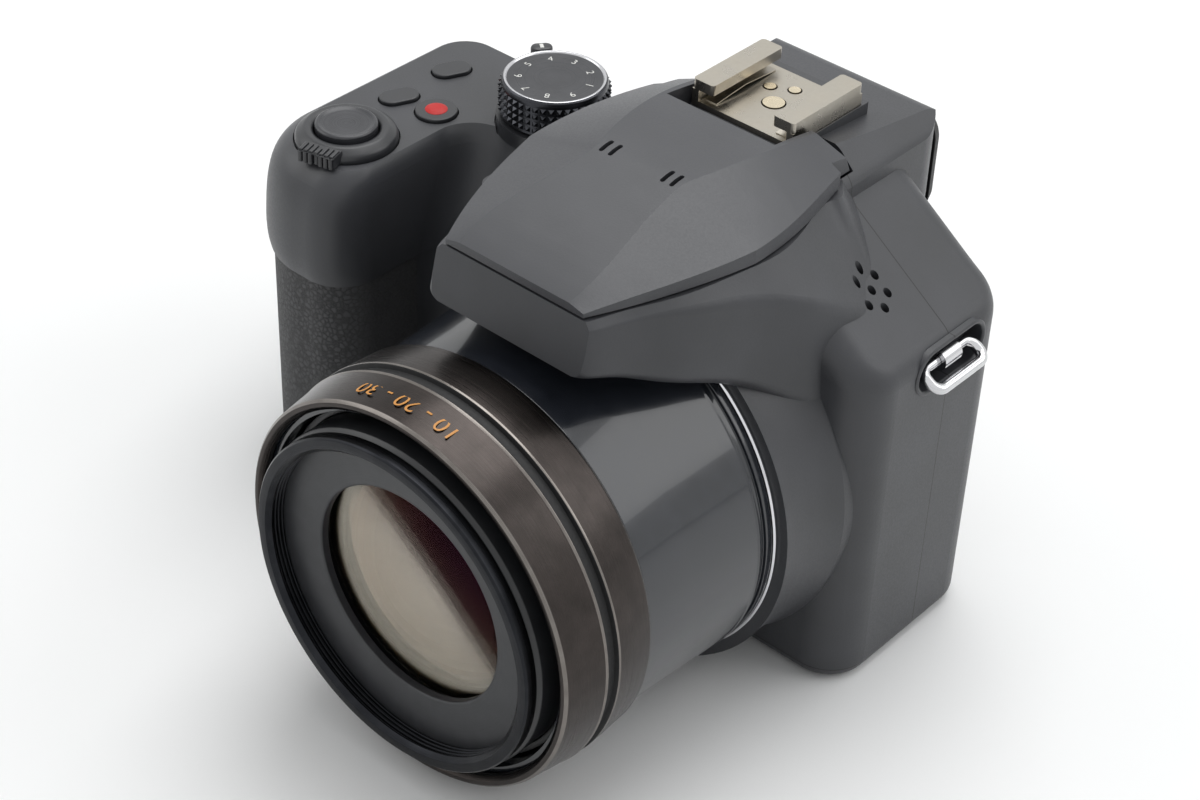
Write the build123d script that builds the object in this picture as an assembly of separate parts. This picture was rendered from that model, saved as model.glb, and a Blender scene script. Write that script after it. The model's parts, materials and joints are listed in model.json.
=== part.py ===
from build123d import *
import math
import os

os.makedirs("parts", exist_ok=True)

# Frame: millimetres, +Z up. The origin is the mouth of the tripod socket on the base.
# The lens axis lies in the plane x = 0 and the lens looks towards -Y.
# The grip is on the -X side and the screen is on the +Y side.

# Fits and general sizes
wall = 1.6
running_gap = 0.3
sliding_gap = 0.25
seam_gap = 0.08
overrun = 60.0
button_gap = 0.25
button_travel = 0.5

# Body casing
lens_height = 36.6
side_x = 42.4
grip_x = 87.8
front_y = -17.5
back_y = 22.5
body_join_x = -20.0
base_round = 3.0
top_plate_z = 66.0
seam_y = 5.0
base_plate_z = 2.6

# Grip lobe, as seen from above
grip_front_y = -37.6
grip_inner_x = 58.5
finger_wall_x = 43.0
finger_floor_y = -9.0
grip_front_round = 17.0
grip_inner_round = 8.5
grip_rear_round = 9.0
finger_round = 8.0
collar_side_round = 3.0

# The grip casing swells above the bead and rolls over to the top plate.
# Each row is a height and an inset as shares of the head height and of the roll.
bead_z = 44.0
head_roll = 5.6
bead_step = 1.2
finger_lean = 8.0

# Right shoulder and hump
shoulder_z = 65.0
shoulder_slope_x = 18.3
shoulder_slope_z = 82.2
shoulder_round = 5.5
shoulder_corner_round = 8.0
deck_z = 85.5
hump_front_y = -57.5
strip_lean = 2.0
hump_rear_y = 7.1
wing_rear_y = 6.6
wing_half = 17.9
wing_drop = 3.4

# The hump at its stations along the lens: half widths and heights of its deck, its ridge and its foot.
# The right side spreads into the shoulder, and the left side stays clear of the mode dial.
hump_station_y = (-57.5, -56.4, -54.0, -44.0, -34.0, -24.0, -14.0, -4.0, 7.1)
hump_deck_half = (12.6, 14.4, 15.6, 19.4, 22.4, 24.2, 23.4, 20.8, 14.9)
hump_ridge_half = (13.6, 15.5, 16.8, 20.9, 25.0, 28.6, 32.2, 33.6, 31.0)
hump_ridge_z = (84.4, 84.4, 84.3, 84.0, 82.8, 80.0, 75.4, 69.4, 65.0)
hump_foot_half = (15.2, 17.0, 18.2, 22.2, 25.8, 30.0, 34.0, 35.0, 32.5)
hump_foot_z = (76.0, 76.0, 75.4, 71.0, 67.0, 60.5, 56.0, 54.0, 52.0)
left_ridge_half = (13.6, 15.5, 16.8, 20.9, 25.0, 28.6, 30.5, 31.5, 32.0)
left_ridge_z = (84.4, 84.4, 84.3, 84.0, 82.8, 80.0, 76.0, 72.0, 70.0)
left_foot_half = (15.2, 17.0, 18.2, 22.2, 25.8, 30.0, 32.5, 33.5, 34.0)
hump_foot_round = (1.0, 1.0, 1.2, 2.0, 2.5, 3.0, 3.0, 3.0, 3.0)
hump_ridge_round = (0.5, 0.5, 0.6, 1.5, 3.0, 4.5, 5.0, 4.5, 4.0)

# Eye-level finder housing
finder_half = 19.4
finder_front_y = 0.9
finder_top_z = 89.4
finder_rear_y = 33.4
finder_foot_z = 57.5
finder_rear_drop = 2.6
finder_round = 5.0
finder_front_lean = 1.9
finder_corner_round = 8.0

# Flash lid
lid_front_y = -55.6
lid_gap = 0.35
lid_station_y = (-55.4, -52.0, -40.0, -26.0, -6.5, 0.2, 6.0)
lid_skirt_half = (14.4, 15.9, 20.3, 23.8, 21.6, 20.0, 18.6)
lid_skirt_z = (86.6, 87.1, 87.9, 88.4, 89.0, 88.8, 88.2)
lid_facet_half = (11.4, 11.8, 10.4, 8.8, 12.2, 12.4, 12.2)
lid_crest_z = (87.3, 88.5, 91.3, 93.8, 93.4, 92.4, 91.2)
lid_bend = 3
lid_crest = 4
lid_wall = 1.5
hinge_y = 2.5
hinge_z = 85.6
lid_open_degrees = 24.0
hinge_nose_radius = 4.6
dish_lead = 4.0
dish_depth = 5.2
surround_half = 11.0

# Hot shoe, to the common accessory shoe standard
shoe_width = 21.3
shoe_slot_width = 18.6
shoe_slot_height = 2.1
shoe_lip_gap = 12.5
shoe_rail_thick = 1.9
shoe_length = 18.6
shoe_front_y = -0.6
shoe_top_z = 94.3
shoe_plate_thick = 1.0
contact_radius = 1.9
small_contact_radius = 1.05

# Lens, from the filter thread outwards; the names ending in _step are radial steps
ring_front_y = -80.0
ring_step_y = -70.1
ring_rear_y = -60.7
filter_radius = 27.5
filter_rim = 2.6
front_tube_step = 0.4
middle_tube_step = 1.2
bore_step = 0.4
seat_step = 1.3
barrel_step = 1.2
barrel_taper = 1.5
base_ring_step = 0.4
collar_step = 2.1
collar_flare = 1.6
flange_step = 1.9
ring_front_step = 0.4
ring_mid_step = 1.6
ring_rear_step = 1.1
ring_mouth_step = 0.4
ring_step_depth = 0.9
ring_step_width = 1.4
base_ring_y = -31.4
collar_front_y = -30.6
groove_depth = 0.6
groove_width = 1.6
barrel_band = 1.5
stage_one_front_y = -75.0
stage_one_rear_y = -22.0
stage_two_front_y = -81.2
stage_two_rear_y = -30.0
tube_wall = 1.1
filter_front_y = -83.5
filter_depth = 3.4
glass_inset = 6.0
name_ring_lap = 1.9
name_ring_thick = 1.6
front_glass_thick = 6.2
front_glass_bulge = 4.2
rear_glass_radius = 14.0
filter_outer_radius = filter_radius + filter_rim
stage_two_radius = filter_outer_radius + front_tube_step
stage_one_radius = stage_two_radius + middle_tube_step
barrel_bore = stage_one_radius + bore_step
ring_seat_radius = barrel_bore + seat_step
barrel_front_radius = ring_seat_radius + barrel_step
barrel_rear_radius = barrel_front_radius + barrel_taper
base_ring_radius = barrel_rear_radius + base_ring_step
flange_radius = barrel_rear_radius - flange_step
collar_radius = base_ring_radius + collar_step
ring_front_radius = barrel_front_radius + ring_front_step
ring_mid_radius = barrel_front_radius + ring_mid_step
ring_rear_radius = barrel_front_radius + ring_rear_step
ring_mouth_radius = ring_seat_radius - ring_mouth_step
front_glass_radius = filter_radius - glass_inset
name_ring_bore = front_glass_radius - name_ring_lap

# Controls on the grip
dial_x = -48.6
dial_y = 7.6
dial_radius = 10.4
dial_height = 7.3
dial_shaft_radius = 3.0
top_seat_depth = 1.1
dial_flutes = 36
dial_flute_radius = 0.45
lever_radius = 10.6
lever_height = 2.9
lever_tab_end = 15.2
lever_tab_width = 5.0
lever_tab_height = 5.6
lever_tab_degrees = 143.0
shutter_x = -71.4
shutter_y = -22.6
shutter_radius = 5.7
shutter_rise = 3.4
zoom_ring_radius = 9.4
zoom_ring_rise = 2.4
zoom_tab_length = 2.2
zoom_tab_width = 7.0
zoom_tab_degrees = -73.0
record_x = -66.0
record_y = -5.2
record_radius = 3.9
oval_x = -74.4
oval_long = 7.6
oval_short = 4.8
oval_rear_y = 7.4
oval_front_y = -6.4
oval_turn_degrees = 67.0
plate_thick = 3.0
top_button_rise = 0.7

# Rear controls, right of the screen as the user sees it
rear_button_rise = 0.8
rear_button_radius = 2.7
pad_x = -58.0
pad_z = 27.0
pad_radius = 10.6
set_radius = 4.2
rear_dial_x = -62.0
rear_dial_z = 57.0
rear_dial_radius = 8.6
rear_dial_thick = 4.2
rear_dial_proud = 2.2
rear_dial_flutes = 28
lcd_x = 4.6
lcd_z = 29.6
lcd_width = 67.0
lcd_height = 51.0
lcd_glass_thick = 1.2
lcd_panel_thick = 3.0
lcd_panel_margin = 2.6

# Finder parts
eyecup_width = 33.0
eyecup_height = 22.0
eyecup_z = 73.0
eyecup_rear_y = 35.7
eyecup_hollow_width = 21.0
eyecup_hollow_height = 15.0
eyepiece_width = 15.0
eyepiece_height = 10.5
eyepiece_thick = 3.0
finder_panel_thick = 2.4
finder_tunnel = 16.0
dioptre_radius = 3.4
dioptre_thick = 2.4
dioptre_y = 26.0
dioptre_z = 66.0

# Base
socket_radius = 3.175
socket_depth = 6.5
socket_boss_radius = 5.2
door_left_x = -83.6
door_right_x = -58.0
door_front_y = -32.0
door_rear_y = 13.0
door_thick = 2.0
door_corner_round = 12.0
door_pin_radius = 0.45
latch_length = 8.0
latch_width = 5.0
latch_throw = 2.2
battery_width = 18.0
battery_depth = 36.0
battery_height = 45.0
battery_x = -73.4
battery_y = -10.6
card_width = 2.1
card_depth = 24.0
card_height = 32.0
card_x = -60.4
card_y = -1.0
bay_gap = 0.4

# Sides
lug_y = 5.0
lug_z = 61.0
lug_wire = 1.0
lug_length = 13.6
lug_drop = 4.4
terminal_y = 5.0
terminal_z = 30.0
terminal_width = 13.0
terminal_height = 22.0
terminal_thick = 1.6

# Inner pieces
board_thick = 1.6
board_y = 14.0
chassis_thick = 1.2
sensor_width = 14.0
sensor_height = 11.0
sensor_thick = 2.0
speaker_radius = 4.5
speaker_thick = 2.0
speaker_hole_radius = 0.75
speaker_ring_radius = 2.9
speaker_x = 31.0
speaker_y = -3.4
screw_radius = 1.5
screw_head_thick = 1.2


# Shares of the swelling grip, and the inner rooms
grip_level_shares = (0.0, 0.25, 0.6, 0.86, 1.0)
grip_inset_shares = (0.1, 0.0, 0.1, 0.42, 1.0)
grip_lean_shares = (0.0, 0.15, 0.55, 0.85, 1.0)
grip_rear_shares = (0.0, 0.0, 0.0, 0.16, 0.6)
lens_rear_y = 4.0
inner_left_x = -54.0
well_half = 13.6
well_rear_y = -20.0
rubber_thick = 1.3

# Smaller details of the sub-parts
stem_radius = 1.4
axle_radius = 1.0
hole_count = 6
side_screw_y = 14.6
side_screw_z = 54.6
door_foot_z = 0.15
terminal_pin_radius = 0.4
thumb_left_x = -79.0
thumb_width = 10.0
thumb_foot_z = 35.0
thumb_height = 16.0
thumb_sunk = 0.6
thumb_proud = 1.1
thumb_round = 3.5
ring_mouth_lip = 1.6
ring_chamfer = 0.8
cell_thick = 5.0
name_ring_dish = 1.1
post_radius = 2.0
chip_size = 9.0
chip_thick = 1.1
dioptre_flutes = 18
contact_rise = 0.15
contact_share = 0.46
slit_width = 0.8
slit_length = 3.2
slit_pitch = 1.9
slit_x = 6.4
slit_y = -26.0
flash_half = 12.0
flash_inset = 1.2
flash_depth = 11.0
window_thick = 1.2
window_margin = 1.4
tube_radius = 1.2
mic_radius = 1.5
mic_height = 2.2
rib_count = 7
rib_depth = 0.5
axle_gap = 0.05
pin_gap = 0.05
latch_depth = 1.0
eye_length = 4.6
eye_wall = 0.9
loop_gap = 0.08
loop_rest_degrees = 30.0
loop_corner_share = 0.42


def block(x0, x1, y0, y1, z0, z1):
    """A plain block between two limits along each axis."""
    sides = Box(x1 - x0, y1 - y0, z1 - z0, align=(Align.MIN, Align.MIN, Align.MIN))
    return Pos(x0, y0, z0) * sides


def rod_x(radius, x0, x1, y, z):
    """A round bar along X."""
    bar = Cylinder(radius, x1 - x0, align=(Align.CENTER, Align.CENTER, Align.MIN))
    return Pos(x0, y, z) * Rot(0, 90, 0) * bar


def rod_y(radius, y0, y1, x, z):
    """A round bar along Y."""
    bar = Cylinder(radius, y1 - y0, align=(Align.CENTER, Align.CENTER, Align.MIN))
    return Pos(x, y0, z) * Rot(-90, 0, 0) * bar


def rod_z(radius, z0, z1, x, y):
    """A round bar along Z."""
    bar = Cylinder(radius, z1 - z0, align=(Align.CENTER, Align.CENTER, Align.MIN))
    return Pos(x, y, z0) * bar


def lens_turned(points):
    """A ring turned about the lens axis from (radius, y) points."""
    corners = [(radius, y) for radius, y in points]
    profile = make_face(Polyline(*corners, close=True))
    turned = revolve(profile, Axis.Y)
    return Pos(0, 0, lens_height) * turned


def plan_face(points, radii, z):
    """A level face with rounded corners."""
    return Pos(0, 0, z) * make_face(FilletPolyline(*points, radius=radii, close=True))


def upright_face(points, radii, y):
    """A face across the camera with rounded corners, from (x, z) points."""
    face = make_face(FilletPolyline(*points, radius=radii, close=True))
    return Pos(0, y, 0) * (Plane.XZ * face)


def side_face(points, radii, x):
    """A face along the camera with rounded corners, from (y, z) points."""
    face = make_face(FilletPolyline(*points, radius=radii, close=True))
    return Pos(x, 0, 0) * (Plane.YZ * face)


def save(name, shape):
    """Writes one sub-part as a STEP file."""
    shape.label = name
    export_step(shape, "parts/" + name + ".step")


outer = 3 * overrun

# Casing form: the grip side, lofted upwards from plan outlines


def grip_outline(z, inset, lean, rear_inset):
    """Plan of the grip side, with its rolled sides inset and the finger wall leaning."""
    left_x = -grip_x + inset
    front = grip_front_y + inset
    inner_x = -grip_inner_x - inset / 2
    floor_y = finger_floor_y + lean
    rear_y = back_y - rear_inset
    finger_x = -finger_wall_x - inset / 4
    corners = [
        (body_join_x, rear_y),
        (left_x, rear_y),
        (left_x, front),
        (inner_x, front),
        (inner_x, floor_y),
        (finger_x, floor_y),
        (finger_x, front_y),
        (body_join_x, front_y),
    ]
    radii = [
        0,
        grip_rear_round - inset / 2,
        grip_front_round - inset,
        grip_inner_round - inset / 2,
        finger_round,
        collar_side_round,
        collar_side_round,
        0,
    ]
    return plan_face(corners, radii, z)


head_height = top_plate_z - bead_z
head_levels = []
head_shares = zip(grip_level_shares, grip_inset_shares, grip_lean_shares, grip_rear_shares)
for level_share, inset_share, lean_share, rear_share in head_shares:
    level = bead_z + head_height * level_share
    head_levels.append(
        grip_outline(level, head_roll * inset_share, finger_lean * lean_share, head_roll * rear_share)
    )
grip_head = loft(head_levels)
column_outline = grip_outline(base_round, bead_step, 0, 0)
grip_column = extrude(column_outline, amount=bead_z - base_round)
grip_foot = loft([grip_outline(0, bead_step + base_round / 2, 0, base_round / 2), column_outline])
grip_form = grip_head + grip_column + grip_foot

# Casing form: the lens side, with its round corners and the sloping shoulder
shoulder_corners = [
    (body_join_x, 0),
    (side_x, 0),
    (side_x, shoulder_z),
    (shoulder_slope_x, shoulder_slope_z),
    (-shoulder_slope_x, shoulder_slope_z),
    (body_join_x, shoulder_slope_z - wall),
]
shoulder_face = upright_face(shoulder_corners, [0] * len(shoulder_corners), back_y)
shoulder_form = extrude(shoulder_face, amount=back_y - front_y)
corner_edges = shoulder_form.edges().filter_by(Axis.Z).group_by(Axis.X)[-1]
shoulder_form = fillet(corner_edges, shoulder_corner_round)
shoulder_edges = shoulder_form.edges().filter_by_position(Axis.Z, shoulder_z - wall, outer)
shoulder_edges = shoulder_edges.filter_by_position(Axis.X, shoulder_slope_x + wall, outer)
shoulder_form = fillet(shoulder_edges, shoulder_round)
foot_edges = shoulder_form.edges().filter_by_position(Axis.Z, -wall, wall)
foot_edges = foot_edges.filter_by_position(Axis.X, body_join_x + wall, outer)
shoulder_form = fillet(foot_edges, base_round)

# Casing form: the hump that overhangs the lens
hump_levels = []
for index, station_y in enumerate(hump_station_y):
    corners = [
        (-left_foot_half[index], hump_foot_z[index]),
        (hump_foot_half[index], hump_foot_z[index]),
        (hump_ridge_half[index], hump_ridge_z[index]),
        (hump_deck_half[index], deck_z),
        (-hump_deck_half[index], deck_z),
        (-left_ridge_half[index], left_ridge_z[index]),
    ]
    foot_round = hump_foot_round[index]
    ridge_round = hump_ridge_round[index]
    radii = [foot_round, foot_round, ridge_round, 0, 0, ridge_round]
    hump_levels.append(upright_face(corners, radii, station_y))
hump_form = loft(hump_levels)
lean_corners = [
    (hump_front_y - overrun, hump_foot_z[0]),
    (hump_front_y, hump_foot_z[0]),
    (hump_front_y + strip_lean, deck_z),
    (hump_front_y + strip_lean, deck_z + overrun),
    (hump_front_y - overrun, deck_z + overrun),
]
lean_cut = extrude(side_face(lean_corners, [0, 0, 0, 0, 0], -overrun), amount=2 * overrun)
hump_form = hump_form - lean_cut

# Casing form: the finder housing behind the hump
finder_corners = [
    (finder_front_y, finder_foot_z),
    (finder_rear_y - finder_rear_drop, finder_foot_z),
    (finder_rear_y, finder_foot_z + finder_round),
    (finder_rear_y, finder_top_z - finder_rear_drop),
    (finder_front_y + finder_front_lean, finder_top_z),
    (finder_front_y, deck_z),
]
finder_radii = [0, finder_round / 2, finder_round / 2, finder_round, 0, 0]
finder_form = extrude(side_face(finder_corners, finder_radii, -finder_half), amount=2 * finder_half)
finder_plan_corners = [
    (-finder_half, -overrun),
    (finder_half, -overrun),
    (finder_half, finder_rear_y),
    (-finder_half, finder_rear_y),
]
finder_plan = plan_face(finder_plan_corners, [0, 0, finder_corner_round, finder_corner_round], 0)
finder_front_corners = [
    (-finder_half - overrun / 4, 0),
    (finder_half + overrun / 4, 0),
    (finder_half, finder_top_z - finder_round),
    (finder_half - finder_round, finder_top_z),
    (-finder_half + finder_round, finder_top_z),
    (-finder_half, finder_top_z - finder_round),
]
finder_front_radii = [0, 0, finder_round, finder_round, finder_round, finder_round]
finder_front = upright_face(finder_front_corners, finder_front_radii, overrun)
finder_form = finder_form & extrude(finder_plan, amount=2 * overrun)
finder_form = finder_form & extrude(finder_front, amount=2 * overrun)

# Casing form: the moulded collar that carries the lens barrel
collar_flare_radius = collar_radius + collar_flare
flare_mid_radius = (collar_radius + collar_flare_radius) / 2 - (collar_flare_radius - collar_radius) / 5
flare_mid_y = (collar_front_y + front_y) / 2 + (front_y - collar_front_y) / 5
collar_front = (collar_radius, collar_front_y)
collar_back = (collar_flare_radius, front_y)
collar_edge = Polyline(collar_back, (collar_flare_radius, 0), (0, 0), (0, collar_front_y), collar_front)
collar_arc = ThreePointArc(collar_front, (flare_mid_radius, flare_mid_y), collar_back)
collar_form = Pos(0, 0, lens_height) * revolve(make_face(collar_edge + collar_arc), Axis.Y)
collar_left_x = -finger_wall_x + collar_side_round / 2
collar_room = block(collar_left_x, side_x - running_gap, -overrun, 0, 0, deck_z)
collar_form = collar_form & collar_room

casing = grip_form + shoulder_form + hump_form + finder_form + collar_form

# Room for the lens, its barrel flange and the tubes that slide inside it
barrel_room_radius = base_ring_radius + running_gap
tail_front_y = front_y + 2 * wall
tail_radius = lens_height - socket_depth - wall - 2 * running_gap
barrel_mouth_y = collar_front_y - overrun
casing = casing - rod_y(flange_radius + seam_gap, barrel_mouth_y, tail_front_y, 0, lens_height)
casing = casing - rod_y(tail_radius + seam_gap, collar_front_y, lens_rear_y, 0, lens_height)
casing = casing - rod_y(barrel_room_radius, barrel_mouth_y, collar_front_y, 0, lens_height)

# Room for the boards behind the lens
inner_right_x = side_x - wall - base_round
inner_rear_y = back_y - wall
inner_top_z = shoulder_z - wall - base_round
inner_foot_z = base_plate_z + wall
inner_front_y = lens_rear_y - seam_gap
board_room = block(inner_left_x, inner_right_x, inner_front_y, inner_rear_y, inner_foot_z, inner_top_z)
casing = casing - board_room

# Battery and card bay, open at the base
bay_left_x = battery_x - battery_width / 2 - bay_gap
bay_right_x = card_x + card_width / 2 + bay_gap
bay_front_y = battery_y - battery_depth / 2 - bay_gap
bay_rear_y = max(battery_y + battery_depth / 2, card_y + card_depth / 2) + bay_gap
battery_top_z = door_thick + bay_gap + battery_height
battery_rear_y = battery_y + battery_depth / 2 + bay_gap
battery_right_x = battery_x + battery_width / 2 + bay_gap
battery_bay_top = battery_top_z + bay_gap
battery_bay = block(bay_left_x, battery_right_x, bay_front_y, battery_rear_y, -wall, battery_bay_top)
card_top_z = door_thick + bay_gap + card_height
card_left_x = card_x - card_width / 2 - bay_gap
card_front_y = card_y - card_depth / 2 - bay_gap
card_bay = block(card_left_x, bay_right_x, card_front_y, bay_rear_y, -wall, card_top_z + bay_gap)


def door_prism(right_x, margin, z0, z1):
    """The outline of the battery door, with its outer front corner round."""
    corners = [
        (door_left_x - margin, door_front_y - margin),
        (right_x, door_front_y - margin),
        (right_x, door_rear_y + margin),
        (door_left_x - margin, door_rear_y + margin),
    ]
    radii = [door_corner_round + margin, 0, 0, wall + margin]
    return extrude(plan_face(corners, radii, z0), amount=z1 - z0)


door_room = door_prism(door_right_x + running_gap, running_gap, -wall, door_thick + bay_gap / 2)
casing = casing - battery_bay - card_bay - door_room

# Well under the flash lid, and the room for the lid and its wings
well_front_y = lid_front_y + 3 * wall
well_floor_z = hump_foot_z[0] + wall
flash_well = block(-well_half, well_half, well_front_y, well_rear_y, well_floor_z, deck_z + wall)
casing = casing - flash_well
wing_room_half = wing_half + running_gap
wing_foot_z = deck_z - wing_drop
wing_room_front_y = finder_front_y - lid_gap
wing_top_z = deck_z + overrun
wing_room = block(-wing_room_half, wing_room_half, wing_room_front_y, wing_rear_y, wing_foot_z, wing_top_z)
nose_keep = block(-surround_half, surround_half, finder_front_y - wall, hump_rear_y, 0, deck_z)
casing = casing - (wing_room - nose_keep)

# Hot shoe surround with a round nose that the lid turns about
shoe_plate_z = shoe_top_z - shoe_rail_thick - shoe_slot_height
surround_z = shoe_plate_z - shoe_plate_thick
nose = rod_x(hinge_nose_radius, -surround_half, surround_half, hinge_y, hinge_z)
surround_rear_y = shoe_front_y + shoe_length + wall
nose_top_z = hinge_z + hinge_nose_radius
surround = block(-surround_half, surround_half, hinge_y, surround_rear_y, wing_foot_z, nose_top_z)
casing = casing + nose + surround
shoe_seat = block(
    -shoe_width / 2 - seam_gap,
    shoe_width / 2 + seam_gap,
    shoe_front_y - seam_gap,
    shoe_front_y + shoe_length + seam_gap,
    surround_z,
    finder_top_z + overrun,
)
casing = casing - shoe_seat

# Finder tunnel through the rear of the housing
tunnel_half = eyepiece_width / 2 + running_gap
tunnel_rise = eyepiece_height / 2 + running_gap
tunnel_front_y = finder_rear_y - finder_tunnel
tunnel_foot_z = eyecup_z - tunnel_rise
tunnel_top_z = eyecup_z + tunnel_rise
finder_tunnel_room = block(-tunnel_half, tunnel_half, tunnel_front_y, overrun, tunnel_foot_z, tunnel_top_z)
casing = casing - finder_tunnel_room

# Screen recess in the rear face
lcd_rear_y = back_y
lcd_front_y = lcd_rear_y - lcd_glass_thick - lcd_panel_thick
lcd_left = lcd_x - lcd_width / 2
lcd_right = lcd_x + lcd_width / 2
lcd_foot = lcd_z - lcd_height / 2
lcd_top = lcd_z + lcd_height / 2
glass_seat_y = back_y - lcd_glass_thick
casing = casing - block(
    lcd_left - seam_gap,
    lcd_right + seam_gap,
    glass_seat_y,
    overrun,
    lcd_foot - seam_gap,
    lcd_top + seam_gap,
)
panel_left = lcd_left + lcd_panel_margin
panel_right = lcd_right - lcd_panel_margin
panel_foot = lcd_foot + lcd_panel_margin
panel_top = lcd_top - lcd_panel_margin
casing = casing - block(
    panel_left - seam_gap,
    panel_right + seam_gap,
    lcd_front_y,
    overrun,
    panel_foot - seam_gap,
    panel_top + seam_gap,
)

# Seats for the controls on the top plate
plate_z = top_plate_z
seat_z = plate_z - top_seat_depth
bore_depth = plate_thick + 2 * button_travel


def top_seat(radius, x, y, stem_radius):
    """A shallow seat with a stem bore, cut in the top plate."""
    seat = rod_z(radius, seat_z, plate_z + overrun, x, y)
    bore = rod_z(stem_radius, plate_z - bore_depth - wall, plate_z, x, y)
    return seat + bore


stem_bore = stem_radius + sliding_gap
casing = casing - top_seat(zoom_ring_radius + button_gap, shutter_x, shutter_y, stem_bore)
casing = casing - top_seat(record_radius + button_gap, record_x, record_y, stem_bore)
casing = casing - rod_z(lever_radius + button_gap, seat_z, plate_z + overrun, dial_x, dial_y)
casing = casing - rod_z(dial_shaft_radius + sliding_gap, plate_z - bore_depth, plate_z, dial_x, dial_y)
function_places = {"function_button_front": oval_front_y, "function_button_rear": oval_rear_y}


def oval_prism(long, short, z0, z1, y):
    """An upright oval bar on the outer edge of the top plate."""
    oval = SlotOverall(long, short, rotation=oval_turn_degrees)
    return Pos(oval_x, y, z0) * extrude(oval, amount=z1 - z0)


for place_y in function_places.values():
    cut_long = oval_long + 2 * button_gap
    cut_short = oval_short + 2 * button_gap
    surround_cut = oval_prism(cut_long, cut_short, seat_z, plate_z + overrun, place_y)
    stem_cut = rod_z(stem_bore, plate_z - bore_depth - wall, plate_z, oval_x, place_y)
    casing = casing - surround_cut - stem_cut

# Seats for the rear controls: name, x, z, radius
rear_buttons = {
    "playback_button": (pad_x + 2 * pad_radius - rear_button_radius, pad_z + 1.5 * pad_radius),
    "focus_button": (pad_x + pad_radius, pad_z + 1.5 * pad_radius),
    "display_button": (pad_x - pad_radius - 2 * rear_button_radius, pad_z - 1.4 * pad_radius),
    "delete_button": (pad_x + pad_radius, pad_z - 1.6 * pad_radius),
    "af_lock_button": (rear_dial_x + 2 * rear_dial_radius, rear_dial_z),
}
rear_seat_y = back_y - top_seat_depth
for button_x, button_z in rear_buttons.values():
    casing = casing - rod_y(rear_button_radius + button_gap, rear_seat_y, overrun, button_x, button_z)
    casing = casing - rod_y(stem_bore, inner_rear_y - 2 * wall, overrun, button_x, button_z)
casing = casing - rod_y(pad_radius + button_gap, rear_seat_y, overrun, pad_x, pad_z)
casing = casing - rod_y(stem_bore, inner_rear_y - 2 * wall, overrun, pad_x, pad_z)
rear_dial_y = back_y + rear_dial_proud - rear_dial_radius
rear_dial_foot = rear_dial_z - rear_dial_thick / 2
rear_dial_top = rear_dial_z + rear_dial_thick / 2
casing = casing - rod_z(
    rear_dial_radius + running_gap,
    rear_dial_foot - running_gap,
    rear_dial_top + running_gap,
    rear_dial_x,
    rear_dial_y,
)
casing = casing - rod_z(axle_radius, rear_dial_foot - wall, rear_dial_top + wall, rear_dial_x, rear_dial_y)

# Strap lug pockets, one in each side
lug_pocket_long = lug_length + 2 * lug_wire + 2 * running_gap + wall
lug_pocket_tall = 4 * lug_wire + 2 * wall
lug_pocket_deep = 2 * wall
lug_seats = {"right": (side_x, 1), "left": (-grip_x, -1)}
lug_low_z = bead_z + (lug_z - bead_z) / 2


def lug_height(name):
    """The strap lug on the grip side sits lower, clear of the rolled edge."""
    return lug_z if name == "right" else lug_low_z


for name, (lug_x, side) in lug_seats.items():
    pocket = extrude(SlotOverall(lug_pocket_long, lug_pocket_tall), amount=2 * lug_pocket_deep, both=True)
    pocket = Pos(lug_x, lug_y, lug_height(name)) * (Plane.YZ * pocket)
    inner_limit = block(-side_x - overrun, lug_x - lug_pocket_deep, -overrun, overrun, 0, deck_z)
    if side < 0:
        inner_limit = block(lug_x + lug_pocket_deep, side_x + overrun, -overrun, overrun, 0, deck_z)
    casing = casing - (pocket - inner_limit)

# Terminal door recess in the grip side
grip_side_x = -grip_x + bead_step
terminal_front_y = terminal_y - terminal_width / 2
terminal_rear_y = terminal_y + terminal_width / 2
terminal_foot_z = terminal_z - terminal_height / 2
terminal_top_z = terminal_z + terminal_height / 2
casing = casing - block(
    grip_side_x - overrun,
    grip_side_x + terminal_thick,
    terminal_front_y - running_gap,
    terminal_rear_y + running_gap,
    terminal_foot_z - running_gap,
    terminal_top_z + running_gap,
)

# Speaker holes in the shoulder
speaker_top_z = shoulder_z
speaker_foot_z = speaker_top_z - speaker_thick
casing = casing - rod_z(speaker_radius + seam_gap, speaker_foot_z, speaker_top_z, speaker_x, speaker_y)
hole_foot_z = speaker_top_z - seam_gap
speaker_holes = rod_z(speaker_hole_radius, hole_foot_z, deck_z, speaker_x, speaker_y)
for index in range(hole_count):
    angle = math.radians(360 * index / hole_count)
    hole_x = speaker_x + speaker_ring_radius * math.cos(angle)
    hole_y = speaker_y + speaker_ring_radius * math.sin(angle)
    speaker_holes = speaker_holes + rod_z(speaker_hole_radius, hole_foot_z, deck_z, hole_x, hole_y)
casing = casing - speaker_holes

# Tripod socket seat
casing = casing - rod_z(socket_boss_radius, -wall, socket_depth + wall, 0, 0)

# Screw seats in the base and one in the side
screw_places = [
    (side_x - 5 * screw_radius, front_y + 4 * screw_radius),
    (side_x - 5 * screw_radius, back_y - 4 * screw_radius),
    (inner_left_x + 2 * screw_radius, back_y - 4 * screw_radius),
    (-finger_wall_x + 4 * screw_radius, front_y + 4 * screw_radius),
]
screw_shaft_radius = screw_radius / 2
screw_shaft_length = base_plate_z + wall
screw_seat_z = screw_head_thick + running_gap
screw_shaft_room = screw_shaft_radius + seam_gap
for screw_x, screw_y in screw_places:
    casing = casing - rod_z(screw_radius + seam_gap, -wall, screw_seat_z, screw_x, screw_y)
    casing = casing - rod_z(screw_shaft_room, 0, screw_seat_z + screw_shaft_length, screw_x, screw_y)
side_screw_in = side_x - 2 * screw_head_thick
casing = casing - rod_x(screw_radius + seam_gap, side_screw_in, side_x + wall, side_screw_y, side_screw_z)

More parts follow.
